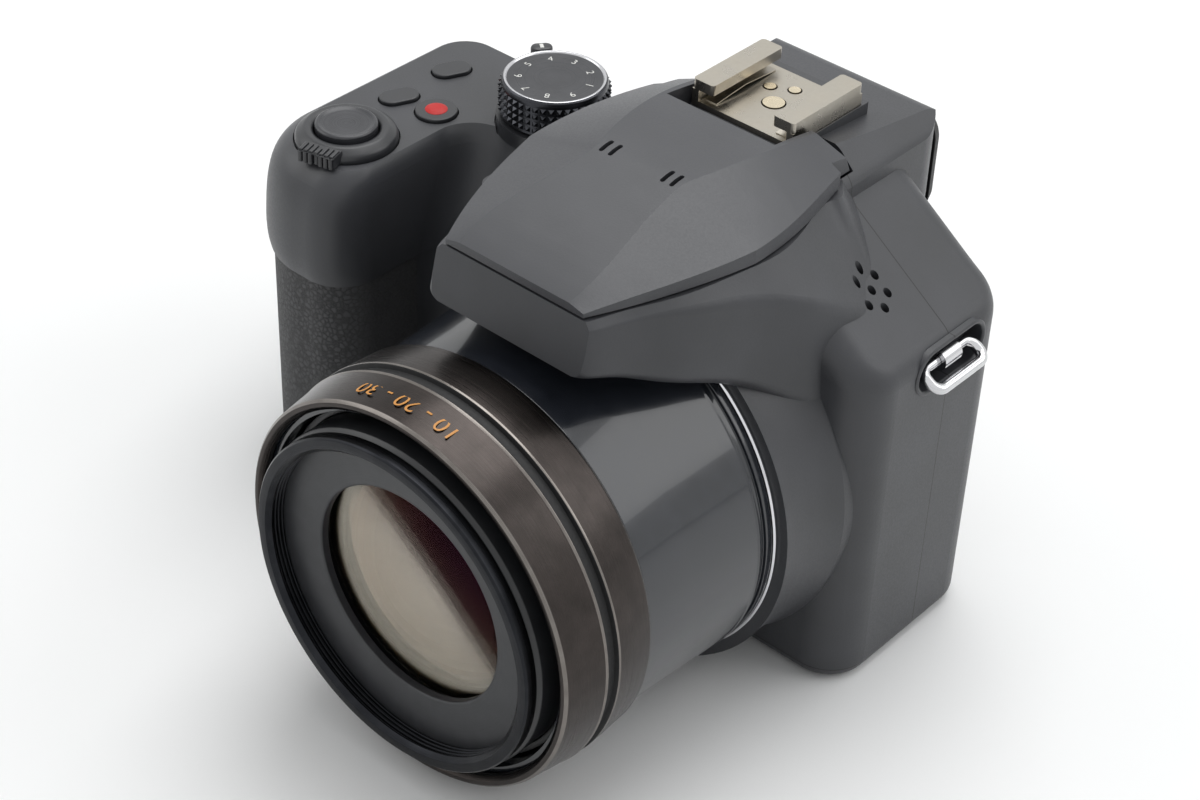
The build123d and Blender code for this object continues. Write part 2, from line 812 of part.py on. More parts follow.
# Seats for the pins of the battery door and the terminal door
door_top_z = door_foot_z + door_thick - running_gap / 2
door_barrel_radius = (door_top_z - door_foot_z) / 2
door_pin_x = door_right_x - door_barrel_radius
door_pin_z = door_foot_z + door_barrel_radius
door_pin_front_y = door_front_y - wall
door_pin_rear_y = door_rear_y + wall
casing = casing - rod_y(door_pin_radius, door_pin_front_y, door_pin_rear_y, door_pin_x, door_pin_z)
terminal_barrel = (terminal_thick - running_gap / 2) / 2
terminal_pin_x = grip_side_x + terminal_barrel
terminal_pin_y = terminal_front_y + terminal_thick / 2
terminal_pin_foot = terminal_foot_z - 2 * wall
terminal_pin_top = terminal_top_z + 2 * wall
terminal_pin = rod_z(terminal_pin_radius, terminal_pin_foot, terminal_pin_top, terminal_pin_x, terminal_pin_y)
casing = casing - terminal_pin

# Seats for the dioptre dial and the thumb rest
dioptre_seat_x = finder_half - dioptre_thick / 2
dioptre_room = dioptre_radius + running_gap
casing = casing - rod_x(dioptre_room, dioptre_seat_x, finder_half + overrun, dioptre_y, dioptre_z)


def thumb_block(y0, y1):
    """The thumb rest between two depths."""
    corners = [
        (thumb_left_x, thumb_foot_z),
        (thumb_left_x + thumb_width, thumb_foot_z),
        (thumb_left_x + thumb_width, thumb_foot_z + thumb_height),
        (thumb_left_x, thumb_foot_z + thumb_height),
    ]
    return extrude(upright_face(corners, [thumb_round] * len(corners), y1), amount=y1 - y0)


casing = casing - thumb_block(back_y - thumb_sunk, back_y + thumb_proud)

# The casing comes apart as base plate, top plate, front cover, rear cover and grip rubber
top_split_z = plate_z - plate_thick
top_right_x = dial_x + lever_radius + button_gap + wall
base_region = block(-outer, outer, -outer, outer, -outer, base_plate_z)
top_region = block(-outer, top_right_x, -outer, outer, top_split_z, outer)
front_region = block(-outer, outer, -outer, seam_y, -outer, outer)
rubber_inner = extrude(grip_outline(base_round, bead_step + rubber_thick, 0, 0), amount=bead_z - base_round)
rubber_right_x = -grip_inner_x + 2 * wall
rubber_foot_z = base_round + wall
rubber_region = block(-outer, rubber_right_x, -outer, front_y, rubber_foot_z, bead_z) - rubber_inner
grip_rubber = casing & rubber_region
casing = casing - rubber_region
base_cover = casing & base_region
casing = casing - base_region
top_cover = casing & top_region
casing = casing - top_region
front_cover = casing & front_region
rear_cover = casing - front_region
for name, cover in {
    "grip_rubber": grip_rubber,
    "base_cover": base_cover,
    "top_cover": top_cover,
    "front_cover": front_cover,
    "rear_cover": rear_cover,
}.items():
    save(name, cover)

# Lens: fixed barrel, base ring and the big turned ring
barrel_front_y = ring_front_y + ring_mouth_lip + seam_gap
groove_y = base_ring_y - barrel_band
lens_barrel = lens_turned(
    [
        (barrel_bore, barrel_front_y),
        (ring_seat_radius, barrel_front_y),
        (ring_seat_radius, ring_rear_y + seam_gap),
        (barrel_front_radius, ring_rear_y + seam_gap),
        (barrel_rear_radius, groove_y - groove_width),
        (barrel_rear_radius - groove_depth, groove_y - groove_width),
        (barrel_rear_radius - groove_depth, groove_y),
        (barrel_rear_radius, groove_y),
        (barrel_rear_radius, base_ring_y),
        (flange_radius, base_ring_y),
        (flange_radius, tail_front_y),
        (tail_radius, tail_front_y),
        (tail_radius, lens_rear_y - seam_gap),
        (front_glass_radius / 2, lens_rear_y - seam_gap),
        (front_glass_radius / 2, lens_rear_y - 2 * wall),
        (tail_radius - wall, lens_rear_y - 2 * wall),
        (tail_radius - wall, tail_front_y - 2 * wall),
        (barrel_bore, tail_front_y - 2 * wall),
    ]
)
save("lens_barrel", lens_barrel)
base_ring = lens_turned(
    [
        (flange_radius + seam_gap, base_ring_y),
        (base_ring_radius - groove_depth / 2, base_ring_y),
        (base_ring_radius, base_ring_y + groove_depth / 2),
        (base_ring_radius, collar_front_y),
        (flange_radius + seam_gap, collar_front_y),
    ]
)
save("barrel_base_ring", base_ring)

ring_foot_y = ring_step_y + ring_step_width
lens_ring = lens_turned(
    [
        (ring_mouth_radius, ring_front_y + ring_chamfer),
        (ring_mouth_radius + ring_chamfer, ring_front_y),
        (ring_front_radius - ring_chamfer, ring_front_y),
        (ring_front_radius, ring_front_y + ring_chamfer),
        (ring_mid_radius, ring_step_y - ring_step_width),
        (ring_mid_radius - ring_step_depth, ring_step_y),
        (ring_mid_radius - ring_step_depth, ring_foot_y),
        (ring_mid_radius, ring_foot_y),
        (ring_rear_radius, ring_rear_y - ring_chamfer),
        (ring_rear_radius - ring_chamfer, ring_rear_y),
        (ring_seat_radius + seam_gap, ring_rear_y),
        (ring_seat_radius + seam_gap, ring_front_y + ring_mouth_lip),
        (ring_mouth_radius, ring_front_y + ring_mouth_lip),
    ]
)
save("lens_ring", lens_ring)

# Lens: the two tubes that slide forward
stage_one_bore = stage_one_radius - tube_wall
cell_front_y = stage_one_rear_y - cell_thick
stage_one = lens_turned(
    [
        (stage_one_bore, stage_one_front_y),
        (stage_one_radius, stage_one_front_y),
        (stage_one_radius, stage_one_rear_y),
        (rear_glass_radius + seam_gap, stage_one_rear_y),
        (rear_glass_radius + seam_gap, cell_front_y),
        (stage_one_bore, cell_front_y),
    ]
)
save("middle_tube", stage_one)
stage_two_bore = stage_two_radius - tube_wall - seam_gap
stage_two = lens_turned(
    [
        (stage_two_bore, stage_two_front_y),
        (stage_two_radius - ring_chamfer, stage_two_front_y),
        (stage_two_radius, stage_two_front_y + ring_chamfer),
        (stage_two_radius, stage_two_rear_y),
        (stage_two_bore, stage_two_rear_y),
    ]
)
save("front_tube", stage_two)

filter_foot_y = filter_front_y + filter_depth
filter_shank_radius = stage_two_bore - seam_gap
filter_ring = lens_turned(
    [
        (filter_radius, filter_front_y),
        (filter_outer_radius - groove_depth / 2, filter_front_y),
        (filter_outer_radius, filter_front_y + groove_depth / 2),
        (filter_outer_radius, stage_two_front_y),
        (filter_shank_radius, stage_two_front_y),
        (filter_shank_radius, filter_foot_y),
        (filter_radius, filter_foot_y),
    ]
)
save("filter_ring", filter_ring)

name_ring = lens_turned(
    [
        (name_ring_bore, filter_foot_y + name_ring_dish),
        (filter_shank_radius, filter_foot_y),
        (filter_shank_radius, filter_foot_y + name_ring_thick),
        (name_ring_bore, filter_foot_y + name_ring_dish + name_ring_thick),
    ]
)
save("name_ring", name_ring)


def lens_element(radius, front_y, edge_y, rear_y):
    """A glass element with a domed front, a ground edge and a flat rear."""
    dome = edge_y - front_y
    middle = (radius / math.sqrt(2), front_y + dome / 2)
    front = ThreePointArc((0, front_y), middle, (radius, edge_y))
    rest = Polyline((radius, edge_y), (radius, rear_y), (0, rear_y), (0, front_y))
    return Pos(0, 0, lens_height) * revolve(make_face(front + rest), Axis.Y)


glass_edge_y = filter_foot_y + name_ring_dish + name_ring_thick + 2 * running_gap + tube_wall
glass_rear_y = glass_edge_y + front_glass_thick - front_glass_bulge
front_lens = lens_element(front_glass_radius, glass_edge_y - front_glass_bulge, glass_edge_y, glass_rear_y)
save("front_lens", front_lens)
cell_lip_radius = front_glass_radius - 2 * tube_wall
front_cell = lens_turned(
    [
        (front_glass_radius + seam_gap, glass_edge_y),
        (filter_shank_radius, glass_edge_y),
        (filter_shank_radius, glass_rear_y + 2 * wall),
        (cell_lip_radius, glass_rear_y + 2 * wall),
        (cell_lip_radius, glass_rear_y + seam_gap),
        (front_glass_radius + seam_gap, glass_rear_y + seam_gap),
    ]
)
save("front_lens_cell", front_cell)
zoom_lens_front_y = cell_front_y - running_gap
zoom_lens = lens_element(rear_glass_radius, zoom_lens_front_y, cell_front_y + wall, stage_one_rear_y - wall)
save("zoom_lens", zoom_lens)

# Chassis, boards and image sensor behind the lens
chassis_y = lens_rear_y + sensor_thick + wall
chassis_left = inner_left_x + 2 * wall
chassis_right = inner_right_x
chassis_foot = inner_foot_z
chassis_top = inner_top_z
chassis = block(chassis_left, chassis_right, chassis_y, chassis_y + chassis_thick, chassis_foot, chassis_top)
post_inset = 2 * post_radius
post_places = []
for post_x in (chassis_left + post_inset, chassis_right - post_inset):
    for post_z in (chassis_foot + post_inset, chassis_top - post_inset):
        post_places.append((post_x, post_z))
for post_x, post_z in post_places:
    chassis = chassis + rod_y(post_radius, chassis_y, board_y, post_x, post_z)
save("chassis", chassis)
main_board = block(chassis_left, chassis_right, board_y, board_y + board_thick, chassis_foot, chassis_top)
for chip_x in (lcd_x - chip_size, lcd_x + 2 * chip_size):
    chip = block(chip_x, chip_x + chip_size, board_y - chip_thick, board_y, lcd_z, lcd_z + chip_size)
    main_board = main_board + chip
save("main_board", main_board)
sensor = block(
    -sensor_width / 2,
    sensor_width / 2,
    chassis_y - sensor_thick,
    chassis_y,
    lens_height - sensor_height / 2,
    lens_height + sensor_height / 2,
)
save("image_sensor", sensor)

# Screen
panel = block(panel_left, panel_right, lcd_front_y + seam_gap, glass_seat_y, panel_foot, panel_top)
save("screen_panel", panel)
glass_corners = [(lcd_left, lcd_foot), (lcd_right, lcd_foot), (lcd_right, lcd_top), (lcd_left, lcd_top)]
glass_radii = [wall / 2] * len(glass_corners)
screen_glass = extrude(upright_face(glass_corners, glass_radii, lcd_rear_y), amount=lcd_glass_thick)
save("screen_glass", screen_glass)

# Finder: panel, eyepiece, eyecup and dioptre dial
finder_panel = block(
    -tunnel_half + running_gap,
    tunnel_half - running_gap,
    tunnel_front_y + seam_gap,
    tunnel_front_y + finder_panel_thick,
    eyecup_z - tunnel_rise + running_gap,
    eyecup_z + tunnel_rise - running_gap,
)
save("finder_panel", finder_panel)
eyepiece_rear_y = finder_rear_y - wall
eyepiece_corners = [
    (-eyepiece_width / 2, eyecup_z - eyepiece_height / 2),
    (eyepiece_width / 2, eyecup_z - eyepiece_height / 2),
    (eyepiece_width / 2, eyecup_z + eyepiece_height / 2),
    (-eyepiece_width / 2, eyecup_z + eyepiece_height / 2),
]
eyepiece_face = upright_face(eyepiece_corners, [wall] * len(eyepiece_corners), eyepiece_rear_y)
eyepiece = extrude(eyepiece_face, amount=eyepiece_thick)
eyepiece_curve = 2 * eyepiece_width
eyepiece = eyepiece & rod_x(
    eyepiece_curve, -eyepiece_width, eyepiece_width, eyepiece_rear_y - eyepiece_curve, eyecup_z
)
save("eyepiece_lens", eyepiece)


def eyecup_face(width, height, y):
    """One rounded outline of the eyecup."""
    corners = [
        (-width / 2, eyecup_z - height / 2),
        (width / 2, eyecup_z - height / 2),
        (width / 2, eyecup_z + height / 2),
        (-width / 2, eyecup_z + height / 2),
    ]
    return upright_face(corners, [height / 4] * len(corners), y)


eyecup_front_y = finder_rear_y
eyecup_lip = 2 * wall
eyecup = loft(
    [
        eyecup_face(eyecup_width, eyecup_height, eyecup_front_y),
        eyecup_face(eyecup_width - wall, eyecup_height - wall, eyecup_rear_y),
    ]
)
eyecup = eyecup - loft(
    [
        eyecup_face(eyepiece_width + wall, eyepiece_height + wall, eyecup_front_y),
        eyecup_face(eyecup_hollow_width + eyecup_lip, eyecup_hollow_height, eyecup_rear_y),
    ]
)
save("eyecup", eyecup)
dioptre_foot_x = dioptre_seat_x + running_gap
dioptre_dial = rod_x(dioptre_radius, dioptre_foot_x, dioptre_foot_x + dioptre_thick, dioptre_y, dioptre_z)
for index in range(dioptre_flutes):
    angle = math.radians(360 * index / dioptre_flutes)
    flute_y = dioptre_y + dioptre_radius * math.cos(angle)
    flute_z = dioptre_z + dioptre_radius * math.sin(angle)
    flute = rod_x(dial_flute_radius / 2, dioptre_seat_x, finder_half + wall, flute_y, flute_z)
    dioptre_dial = dioptre_dial - flute
save("dioptre_dial", dioptre_dial)

# Hot shoe: plate, rails, contacts and springs
shoe_rear_y = shoe_front_y + shoe_length
shoe_half = shoe_width / 2
rail_foot_z = shoe_top_z - shoe_rail_thick
hot_shoe = block(-shoe_half, shoe_half, shoe_front_y, shoe_rear_y, surround_z, shoe_plate_z)
rail_wall = (shoe_width - shoe_slot_width) / 2
for side in (-1, 1):
    outer_x = side * shoe_half
    wall_x = side * (shoe_half - rail_wall)
    lip_x = side * shoe_lip_gap / 2
    post_left, post_right = sorted((outer_x, wall_x))
    rail_left, rail_right = sorted((outer_x, lip_x))
    post = block(post_left, post_right, shoe_front_y, shoe_rear_y, shoe_plate_z, rail_foot_z)
    rail = block(rail_left, rail_right, shoe_front_y, shoe_rear_y, rail_foot_z, shoe_top_z)
    rail_edges = rail.edges().filter_by(Axis.Z)
    hot_shoe = hot_shoe + post + fillet(rail_edges, rail_wall / 2)
contact_y = shoe_front_y + shoe_length * contact_share
contact_places = [
    (0, contact_y, contact_radius),
    (0, contact_y + 3 * contact_radius, small_contact_radius),
    (-2 * contact_radius, contact_y + 2 * contact_radius, small_contact_radius),
    (2 * contact_radius, contact_y + 3 * contact_radius, small_contact_radius),
]
contacts = None
for place_x, place_y, radius in contact_places:
    hot_shoe = hot_shoe - rod_z(radius + button_gap, surround_z, shoe_plate_z, place_x, place_y)
    contact = rod_z(radius, surround_z, shoe_plate_z + contact_rise, place_x, place_y)
    contacts = contact if contacts is None else contacts + contact
save("hot_shoe", hot_shoe)
save("hot_shoe_contacts", contacts)

# Flash lid, lofted along the hump from faceted outlines


def lid_outline(index, inset, foot_z):
    """Faceted outline of the lid across the camera at one station."""
    skirt = lid_skirt_half[index] - inset
    facet = lid_facet_half[index] - inset / 2
    skirt_z = lid_skirt_z[index] - inset
    crest_z = lid_crest_z[index] - inset
    corners = [
        (-skirt, foot_z),
        (skirt, foot_z),
        (skirt, skirt_z),
        (facet, crest_z),
        (-facet, crest_z),
        (-skirt, skirt_z),
    ]
    return corners


lid_foot_z = deck_z + lid_gap
lid_sections = []
lid_hollows = []
for index, station_y in enumerate(lid_station_y):
    outline = Polyline(*lid_outline(index, 0, lid_foot_z), close=True)
    lid_sections.append(Pos(0, station_y, 0) * (Plane.XZ * make_face(outline)))
for index in range(1, lid_crest + 1):
    outline = Polyline(*lid_outline(index, lid_wall, lid_foot_z - lid_wall), close=True)
    lid_hollows.append(Pos(0, lid_station_y[index], 0) * (Plane.XZ * make_face(outline)))
lid = loft(lid_sections[: lid_bend + 1]) + loft(lid_sections[lid_bend:])
lid_wall_y = lid_station_y[lid_crest] - dish_lead
lid_hollow = loft(lid_hollows, ruled=True) & block(-outer, outer, -outer, lid_wall_y, 0, outer)
lid = lid - lid_hollow
lid_nose_room = surround_half + lid_gap
lid_nose_y = hinge_y - hinge_nose_radius - lid_gap
lid = lid - block(-lid_nose_room, lid_nose_room, lid_nose_y, outer, 0, outer)
lid = lid - rod_x(hinge_nose_radius + lid_gap, -lid_nose_room, lid_nose_room, hinge_y, hinge_z)
dish_corners = [
    (lid_nose_y - dish_lead, deck_z + overrun),
    (lid_nose_y - dish_lead, lid_crest_z[lid_crest]),
    (lid_nose_y, lid_crest_z[lid_crest] - dish_depth),
    (hinge_y, lid_crest_z[lid_crest] - dish_depth),
    (hinge_y, deck_z + overrun),
]
dish_face = side_face(dish_corners, [0] * len(dish_corners), -lid_nose_room)
lid = lid - extrude(dish_face, amount=2 * lid_nose_room)
lid_lean = math.tan(math.radians(lid_open_degrees))
lean_rise = lid_crest_z[lid_crest] - lid_foot_z
lid_rear_y = lid_station_y[-1]
lid_rear_corners = [
    (lid_rear_y, lid_foot_z),
    (outer, lid_foot_z),
    (outer, lid_foot_z + lean_rise),
    (lid_rear_y - lean_rise * lid_lean, lid_foot_z + lean_rise),
]
lid_rear_cut = extrude(side_face(lid_rear_corners, [0] * len(lid_rear_corners), -outer), amount=2 * outer)
lid = lid - lid_rear_cut
for side in (-1, 1):
    edge_x = side * wing_half
    far_x = side * outer
    lid = lid - block(min(edge_x, far_x), max(edge_x, far_x), wing_room_front_y, outer, 0, outer)
for side in (-1, 1):
    for row in (-1, 1):
        slit = extrude(SlotOverall(slit_length, slit_width, rotation=90), amount=overrun)
        lid = lid - Pos(side * slit_x + row * slit_pitch / 2, slit_y, deck_z) * slit
save("flash_lid", lid)

flash_front_y = well_front_y + flash_inset
flash_rear_y = flash_front_y + flash_depth
flash_foot_z = well_floor_z + running_gap
flash_top_z = lid_crest_z[1] - lid_wall + running_gap
flash_housing = block(-flash_half, flash_half, flash_front_y, flash_rear_y, flash_foot_z, flash_top_z)
trough_half = flash_half - window_margin
trough_foot_z = flash_foot_z + window_margin
trough_top_z = flash_top_z - window_margin
trough_rear_y = flash_rear_y - window_margin
flash_housing = flash_housing - block(
    -trough_half, trough_half, flash_front_y - wall, trough_rear_y, trough_foot_z, trough_top_z
)
save("flash_housing", flash_housing)
window = block(
    -trough_half, trough_half, flash_front_y, flash_front_y + window_thick, trough_foot_z, trough_top_z
)
save("flash_window", window)
reflector_front_y = flash_front_y + window_thick + seam_gap
reflector = block(-trough_half, trough_half, reflector_front_y, trough_rear_y, trough_foot_z, trough_top_z)
trough_radius = (trough_top_z - trough_foot_z) / 2 - tube_wall / 2
trough_z = (trough_top_z + trough_foot_z) / 2
trough_inner_half = trough_half - tube_wall / 2
trough_y = trough_rear_y - trough_radius - tube_wall / 2
reflector = reflector - rod_x(trough_radius, -trough_inner_half, trough_inner_half, trough_y, trough_z)
reflector = reflector - block(
    -trough_inner_half,
    trough_inner_half,
    reflector_front_y - wall,
    trough_y,
    trough_z - trough_radius,
    trough_z + trough_radius,
)
reflector = reflector - rod_x(tube_radius, -trough_half, trough_half, trough_y, trough_z)
save("flash_reflector", reflector)
save("flash_tube", rod_x(tube_radius, -trough_half, trough_half, trough_y, trough_z))
mic_top_z = lid_crest_z[lid_bend] - lid_wall - 2 * seam_gap
mic_y = slit_y + mic_radius
microphones = rod_z(mic_radius, mic_top_z - mic_height, mic_top_z, -slit_x, mic_y)
microphones = microphones + rod_z(mic_radius, mic_top_z - mic_height, mic_top_z, slit_x, mic_y)
save("microphones", microphones)

# Top controls


cap_foot_z = seat_z + button_travel + seam_gap
stem_foot_z = plate_z - bore_depth - wall + 2 * button_travel


def top_button(radius, x, y, rise):
    """A round button with a stem that runs in the plate."""
    cap = rod_z(radius, cap_foot_z, plate_z + rise, x, y)
    stem = rod_z(stem_radius, stem_foot_z, plate_z + rise / 2, x, y)
    return cap + stem


shutter_hole = shutter_radius + button_gap
shutter_top_z = plate_z + shutter_rise
shutter_cap = rod_z(shutter_radius, seat_z + 2 * button_travel, shutter_top_z, shutter_x, shutter_y)
shutter_cap = fillet(shutter_cap.edges().sort_by(Axis.Z)[-1], button_travel)
shutter_stem = rod_z(stem_radius, stem_foot_z, shutter_top_z - wall, shutter_x, shutter_y)
save("shutter_button", shutter_cap + shutter_stem)
zoom_foot_z = seat_z + running_gap / 2
zoom_top_z = plate_z + zoom_ring_rise
zoom_ring = rod_z(zoom_ring_radius, zoom_foot_z, zoom_top_z, shutter_x, shutter_y)
zoom_ring = chamfer(zoom_ring.edges().sort_by(Axis.Z)[-1], zoom_ring_rise / 2)
zoom_ring = zoom_ring - rod_z(shutter_hole, zoom_foot_z - wall, zoom_top_z + wall, shutter_x, shutter_y)
tab_reach = zoom_ring_radius + zoom_tab_length
tab_inner = zoom_ring_radius - wall
tab_half = zoom_tab_width / 2
zoom_tab = block(tab_inner, tab_reach, -tab_half, tab_half, plate_z + running_gap, zoom_top_z)
rib_pitch = zoom_tab_width / rib_count
for index in range(1, rib_count):
    groove_at = -zoom_tab_width / 2 + rib_pitch * index
    zoom_tab = zoom_tab - block(
        tab_reach - rib_depth, outer, groove_at - rib_pitch / 4, groove_at + rib_pitch / 4, 0, outer
    )
zoom_tab = Pos(shutter_x, shutter_y, 0) * Rot(0, 0, zoom_tab_degrees) * zoom_tab
save("zoom_lever", zoom_ring + zoom_tab)
save("record_button", top_button(record_radius, record_x, record_y, top_button_rise))
for name, place_y in function_places.items():
    cap = oval_prism(oval_long, oval_short, cap_foot_z, plate_z + top_button_rise, place_y)
    stem = rod_z(stem_radius, stem_foot_z, plate_z, oval_x, place_y)
    save(name, cap + stem)

lever_foot_z = seat_z + running_gap / 2
lever_top_z = lever_foot_z + lever_height
power_lever = rod_z(lever_radius, lever_foot_z, lever_top_z, dial_x, dial_y)
lever_tab = block(
    dial_radius - wall / 2,
    lever_tab_end,
    -lever_tab_width / 2,
    lever_tab_width / 2,
    plate_z + running_gap,
    lever_top_z,
)
lever_knob = block(
    dial_radius + 2 * button_gap,
    lever_tab_end,
    -lever_tab_width / 2,
    lever_tab_width / 2,
    lever_top_z,
    plate_z + lever_tab_height,
)
lever_tab = lever_tab + lever_knob
lever_tab = fillet(lever_tab.edges().filter_by(Axis.Z).sort_by(Axis.X)[-2:], lever_tab_width / 3)
power_lever = power_lever + Pos(dial_x, dial_y, 0) * Rot(0, 0, lever_tab_degrees) * lever_tab
power_lever = power_lever - rod_z(dial_shaft_radius + sliding_gap, 0, outer, dial_x, dial_y)
save("power_lever", power_lever)
dial_foot_z = lever_top_z + running_gap
dial_top_z = dial_foot_z + dial_height
dial = rod_z(dial_radius, dial_foot_z, dial_top_z, dial_x, dial_y)
dial = chamfer(dial.edges().sort_by(Axis.Z)[-1], dial_flute_radius)
for index in range(dial_flutes):
    angle = math.radians(360 * index / dial_flutes)
    flute_x = dial_x + dial_radius * math.cos(angle)
    flute_y = dial_y + dial_radius * math.sin(angle)
    flute_top = dial_top_z - 2 * dial_flute_radius
    dial = dial - rod_z(dial_flute_radius, dial_foot_z, flute_top, flute_x, flute_y)
dial = dial + rod_z(dial_shaft_radius, plate_z - plate_thick, dial_foot_z, dial_x, dial_y)
save("mode_dial", dial)

# Rear controls
cap_front_y = rear_seat_y + button_travel + seam_gap
stem_front_y = inner_rear_y - 2 * wall + 2 * button_travel
for name, (button_x, button_z) in rear_buttons.items():
    cap = rod_y(rear_button_radius, cap_front_y, back_y + rear_button_rise, button_x, button_z)
    stem = rod_y(stem_radius, stem_front_y, back_y, button_x, button_z)
    save(name, cap + stem)
set_hole = set_radius + button_gap
cursor_pad = rod_y(pad_radius, cap_front_y, back_y + rear_button_rise, pad_x, pad_z)
cursor_pad = cursor_pad - rod_y(set_hole, 0, outer, pad_x, pad_z)
save("cursor_pad", cursor_pad)
set_button = rod_y(set_radius, cap_front_y, back_y + 2 * rear_button_rise, pad_x, pad_z)
set_button = set_button + rod_y(stem_radius, stem_front_y, back_y, pad_x, pad_z)
save("set_button", set_button)
rear_dial = rod_z(rear_dial_radius, rear_dial_foot, rear_dial_top, rear_dial_x, rear_dial_y)
for index in range(rear_dial_flutes):
    angle = math.radians(360 * index / rear_dial_flutes)
    flute_x = rear_dial_x + rear_dial_radius * math.cos(angle)
    flute_y = rear_dial_y + rear_dial_radius * math.sin(angle)
    rear_dial = rear_dial - rod_z(dial_flute_radius, 0, outer, flute_x, flute_y)
rear_dial = rear_dial - rod_z(axle_radius + axle_gap, 0, outer, rear_dial_x, rear_dial_y)
save("rear_dial", rear_dial)
hinge_pins = rod_z(axle_radius, rear_dial_foot - wall, rear_dial_top + wall, rear_dial_x, rear_dial_y)
thumb_rest = thumb_block(back_y - thumb_sunk, back_y + thumb_proud)
save("thumb_rest", thumb_rest)

# Base: tripod socket, battery door with its pin and latch, battery and card
socket_body_radius = socket_boss_radius - seam_gap
tripod_socket = rod_z(socket_body_radius, 0, socket_depth + wall - seam_gap, 0, 0)
tripod_socket = tripod_socket - rod_z(socket_radius, 0, socket_depth, 0, 0)
save("tripod_socket", tripod_socket)
battery_door = door_prism(door_pin_x, 0, door_foot_z, door_top_z)
battery_door = battery_door + rod_y(door_barrel_radius, door_front_y, door_rear_y, door_pin_x, door_pin_z)
pin_bore = door_pin_radius + pin_gap
battery_door = battery_door - rod_y(pin_bore, door_front_y - wall, door_rear_y + wall, door_pin_x, door_pin_z)
latch_x = door_left_x + latch_width
latch_y = (door_front_y + door_rear_y) / 2
battery_door = battery_door - block(
    latch_x - latch_width / 2 - running_gap,
    latch_x + latch_width / 2 + running_gap,
    latch_y - latch_length / 2 - running_gap,
    latch_y + latch_length / 2 + latch_throw + running_gap,
    -wall,
    door_foot_z + latch_depth,
)
save("battery_door", battery_door)
hinge_pins = hinge_pins + rod_y(door_pin_radius, door_pin_front_y, door_pin_rear_y, door_pin_x, door_pin_z)
latch = block(
    latch_x - latch_width / 2,
    latch_x + latch_width / 2,
    latch_y - latch_length / 2,
    latch_y + latch_length / 2,
    door_foot_z,
    door_foot_z + latch_depth - running_gap / 2,
)
save("battery_latch", latch)
battery_foot_z = door_top_z + bay_gap
battery = block(
    battery_x - battery_width / 2,
    battery_x + battery_width / 2,
    battery_y - battery_depth / 2,
    battery_y + battery_depth / 2,
    battery_foot_z,
    battery_foot_z + battery_height,
)
battery = fillet(battery.edges().filter_by(Axis.Z), wall)
save("battery", battery)
card = block(
    card_x - card_width / 2,
    card_x + card_width / 2,
    card_y - card_depth / 2,
    card_y + card_depth / 2,
    battery_foot_z,
    battery_foot_z + card_height,
)
save("memory_card", card)
save("speaker", rod_z(speaker_radius, speaker_foot_z, speaker_top_z, speaker_x, speaker_y))

# Terminal door with its pin
terminal_door = block(
    grip_side_x,
    grip_side_x + terminal_thick - running_gap / 2,
    terminal_pin_y,
    terminal_rear_y,
    terminal_foot_z,
    terminal_top_z,
)
terminal_door = terminal_door + rod_z(
    terminal_barrel, terminal_foot_z, terminal_top_z, terminal_pin_x, terminal_pin_y
)
terminal_door = terminal_door - rod_z(terminal_pin_radius + pin_gap, 0, outer, terminal_pin_x, terminal_pin_y)
save("terminal_door", terminal_door)
save("hinge_pins", hinge_pins + terminal_pin)

# Strap lugs: a fixed eye and a wire loop on each side
eyes = None
for name, (lug_x, side) in lug_seats.items():
    bar_x = lug_x - side * (lug_pocket_deep - lug_wire - eye_wall - loop_gap)
    floor_x = lug_x - side * lug_pocket_deep
    high_z = lug_height(name)
    eye_radius = lug_wire + loop_gap + eye_wall
    eye = rod_y(eye_radius, lug_y - eye_length / 2, lug_y + eye_length / 2, bar_x, high_z)
    foot = block(
        min(floor_x, bar_x),
        max(floor_x, bar_x),
        lug_y - eye_length / 2,
        lug_y + eye_length / 2,
        high_z - eye_radius,
        high_z + eye_radius,
    )
    eye = eye + foot - rod_y(lug_wire + loop_gap, lug_y - outer, lug_y + outer, bar_x, high_z)
    eyes = eye if eyes is None else eyes + eye
    reach = lug_drop
    half_long = lug_length / 2
    corner = reach * loop_corner_share
    frame_points = [(0, -half_long), (reach, -half_long), (reach, half_long), (0, half_long)]
    route = FilletPolyline(*frame_points, radius=[corner] * len(frame_points), close=True)
    start = route.edges().sort_by(Axis.X)[0]
    section = Plane(origin=start @ 0.5, z_dir=start % 0.5) * Circle(lug_wire)
    loop = sweep(section, path=route.wire())
    turn = loop_rest_degrees if side > 0 else 180 - loop_rest_degrees
    loop = Pos(bar_x, lug_y, high_z) * Rot(0, turn, 0) * loop
    save("strap_loop_" + name, loop)
save("strap_eyes", eyes)

# Screws
screws = None
for screw_x, screw_y in screw_places:
    head = rod_z(screw_radius, running_gap, running_gap + screw_head_thick, screw_x, screw_y)
    shaft = rod_z(screw_shaft_radius, running_gap, screw_seat_z + screw_shaft_length, screw_x, screw_y)
    screws = head + shaft if screws is None else screws + head + shaft
side_head = rod_x(screw_radius, side_screw_in, side_screw_in + screw_head_thick, side_screw_y, side_screw_z)
screws = screws + side_head
save("body_screws", screws)
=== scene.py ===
import json
import math

import bmesh
import bpy
from mathutils import Matrix, Vector

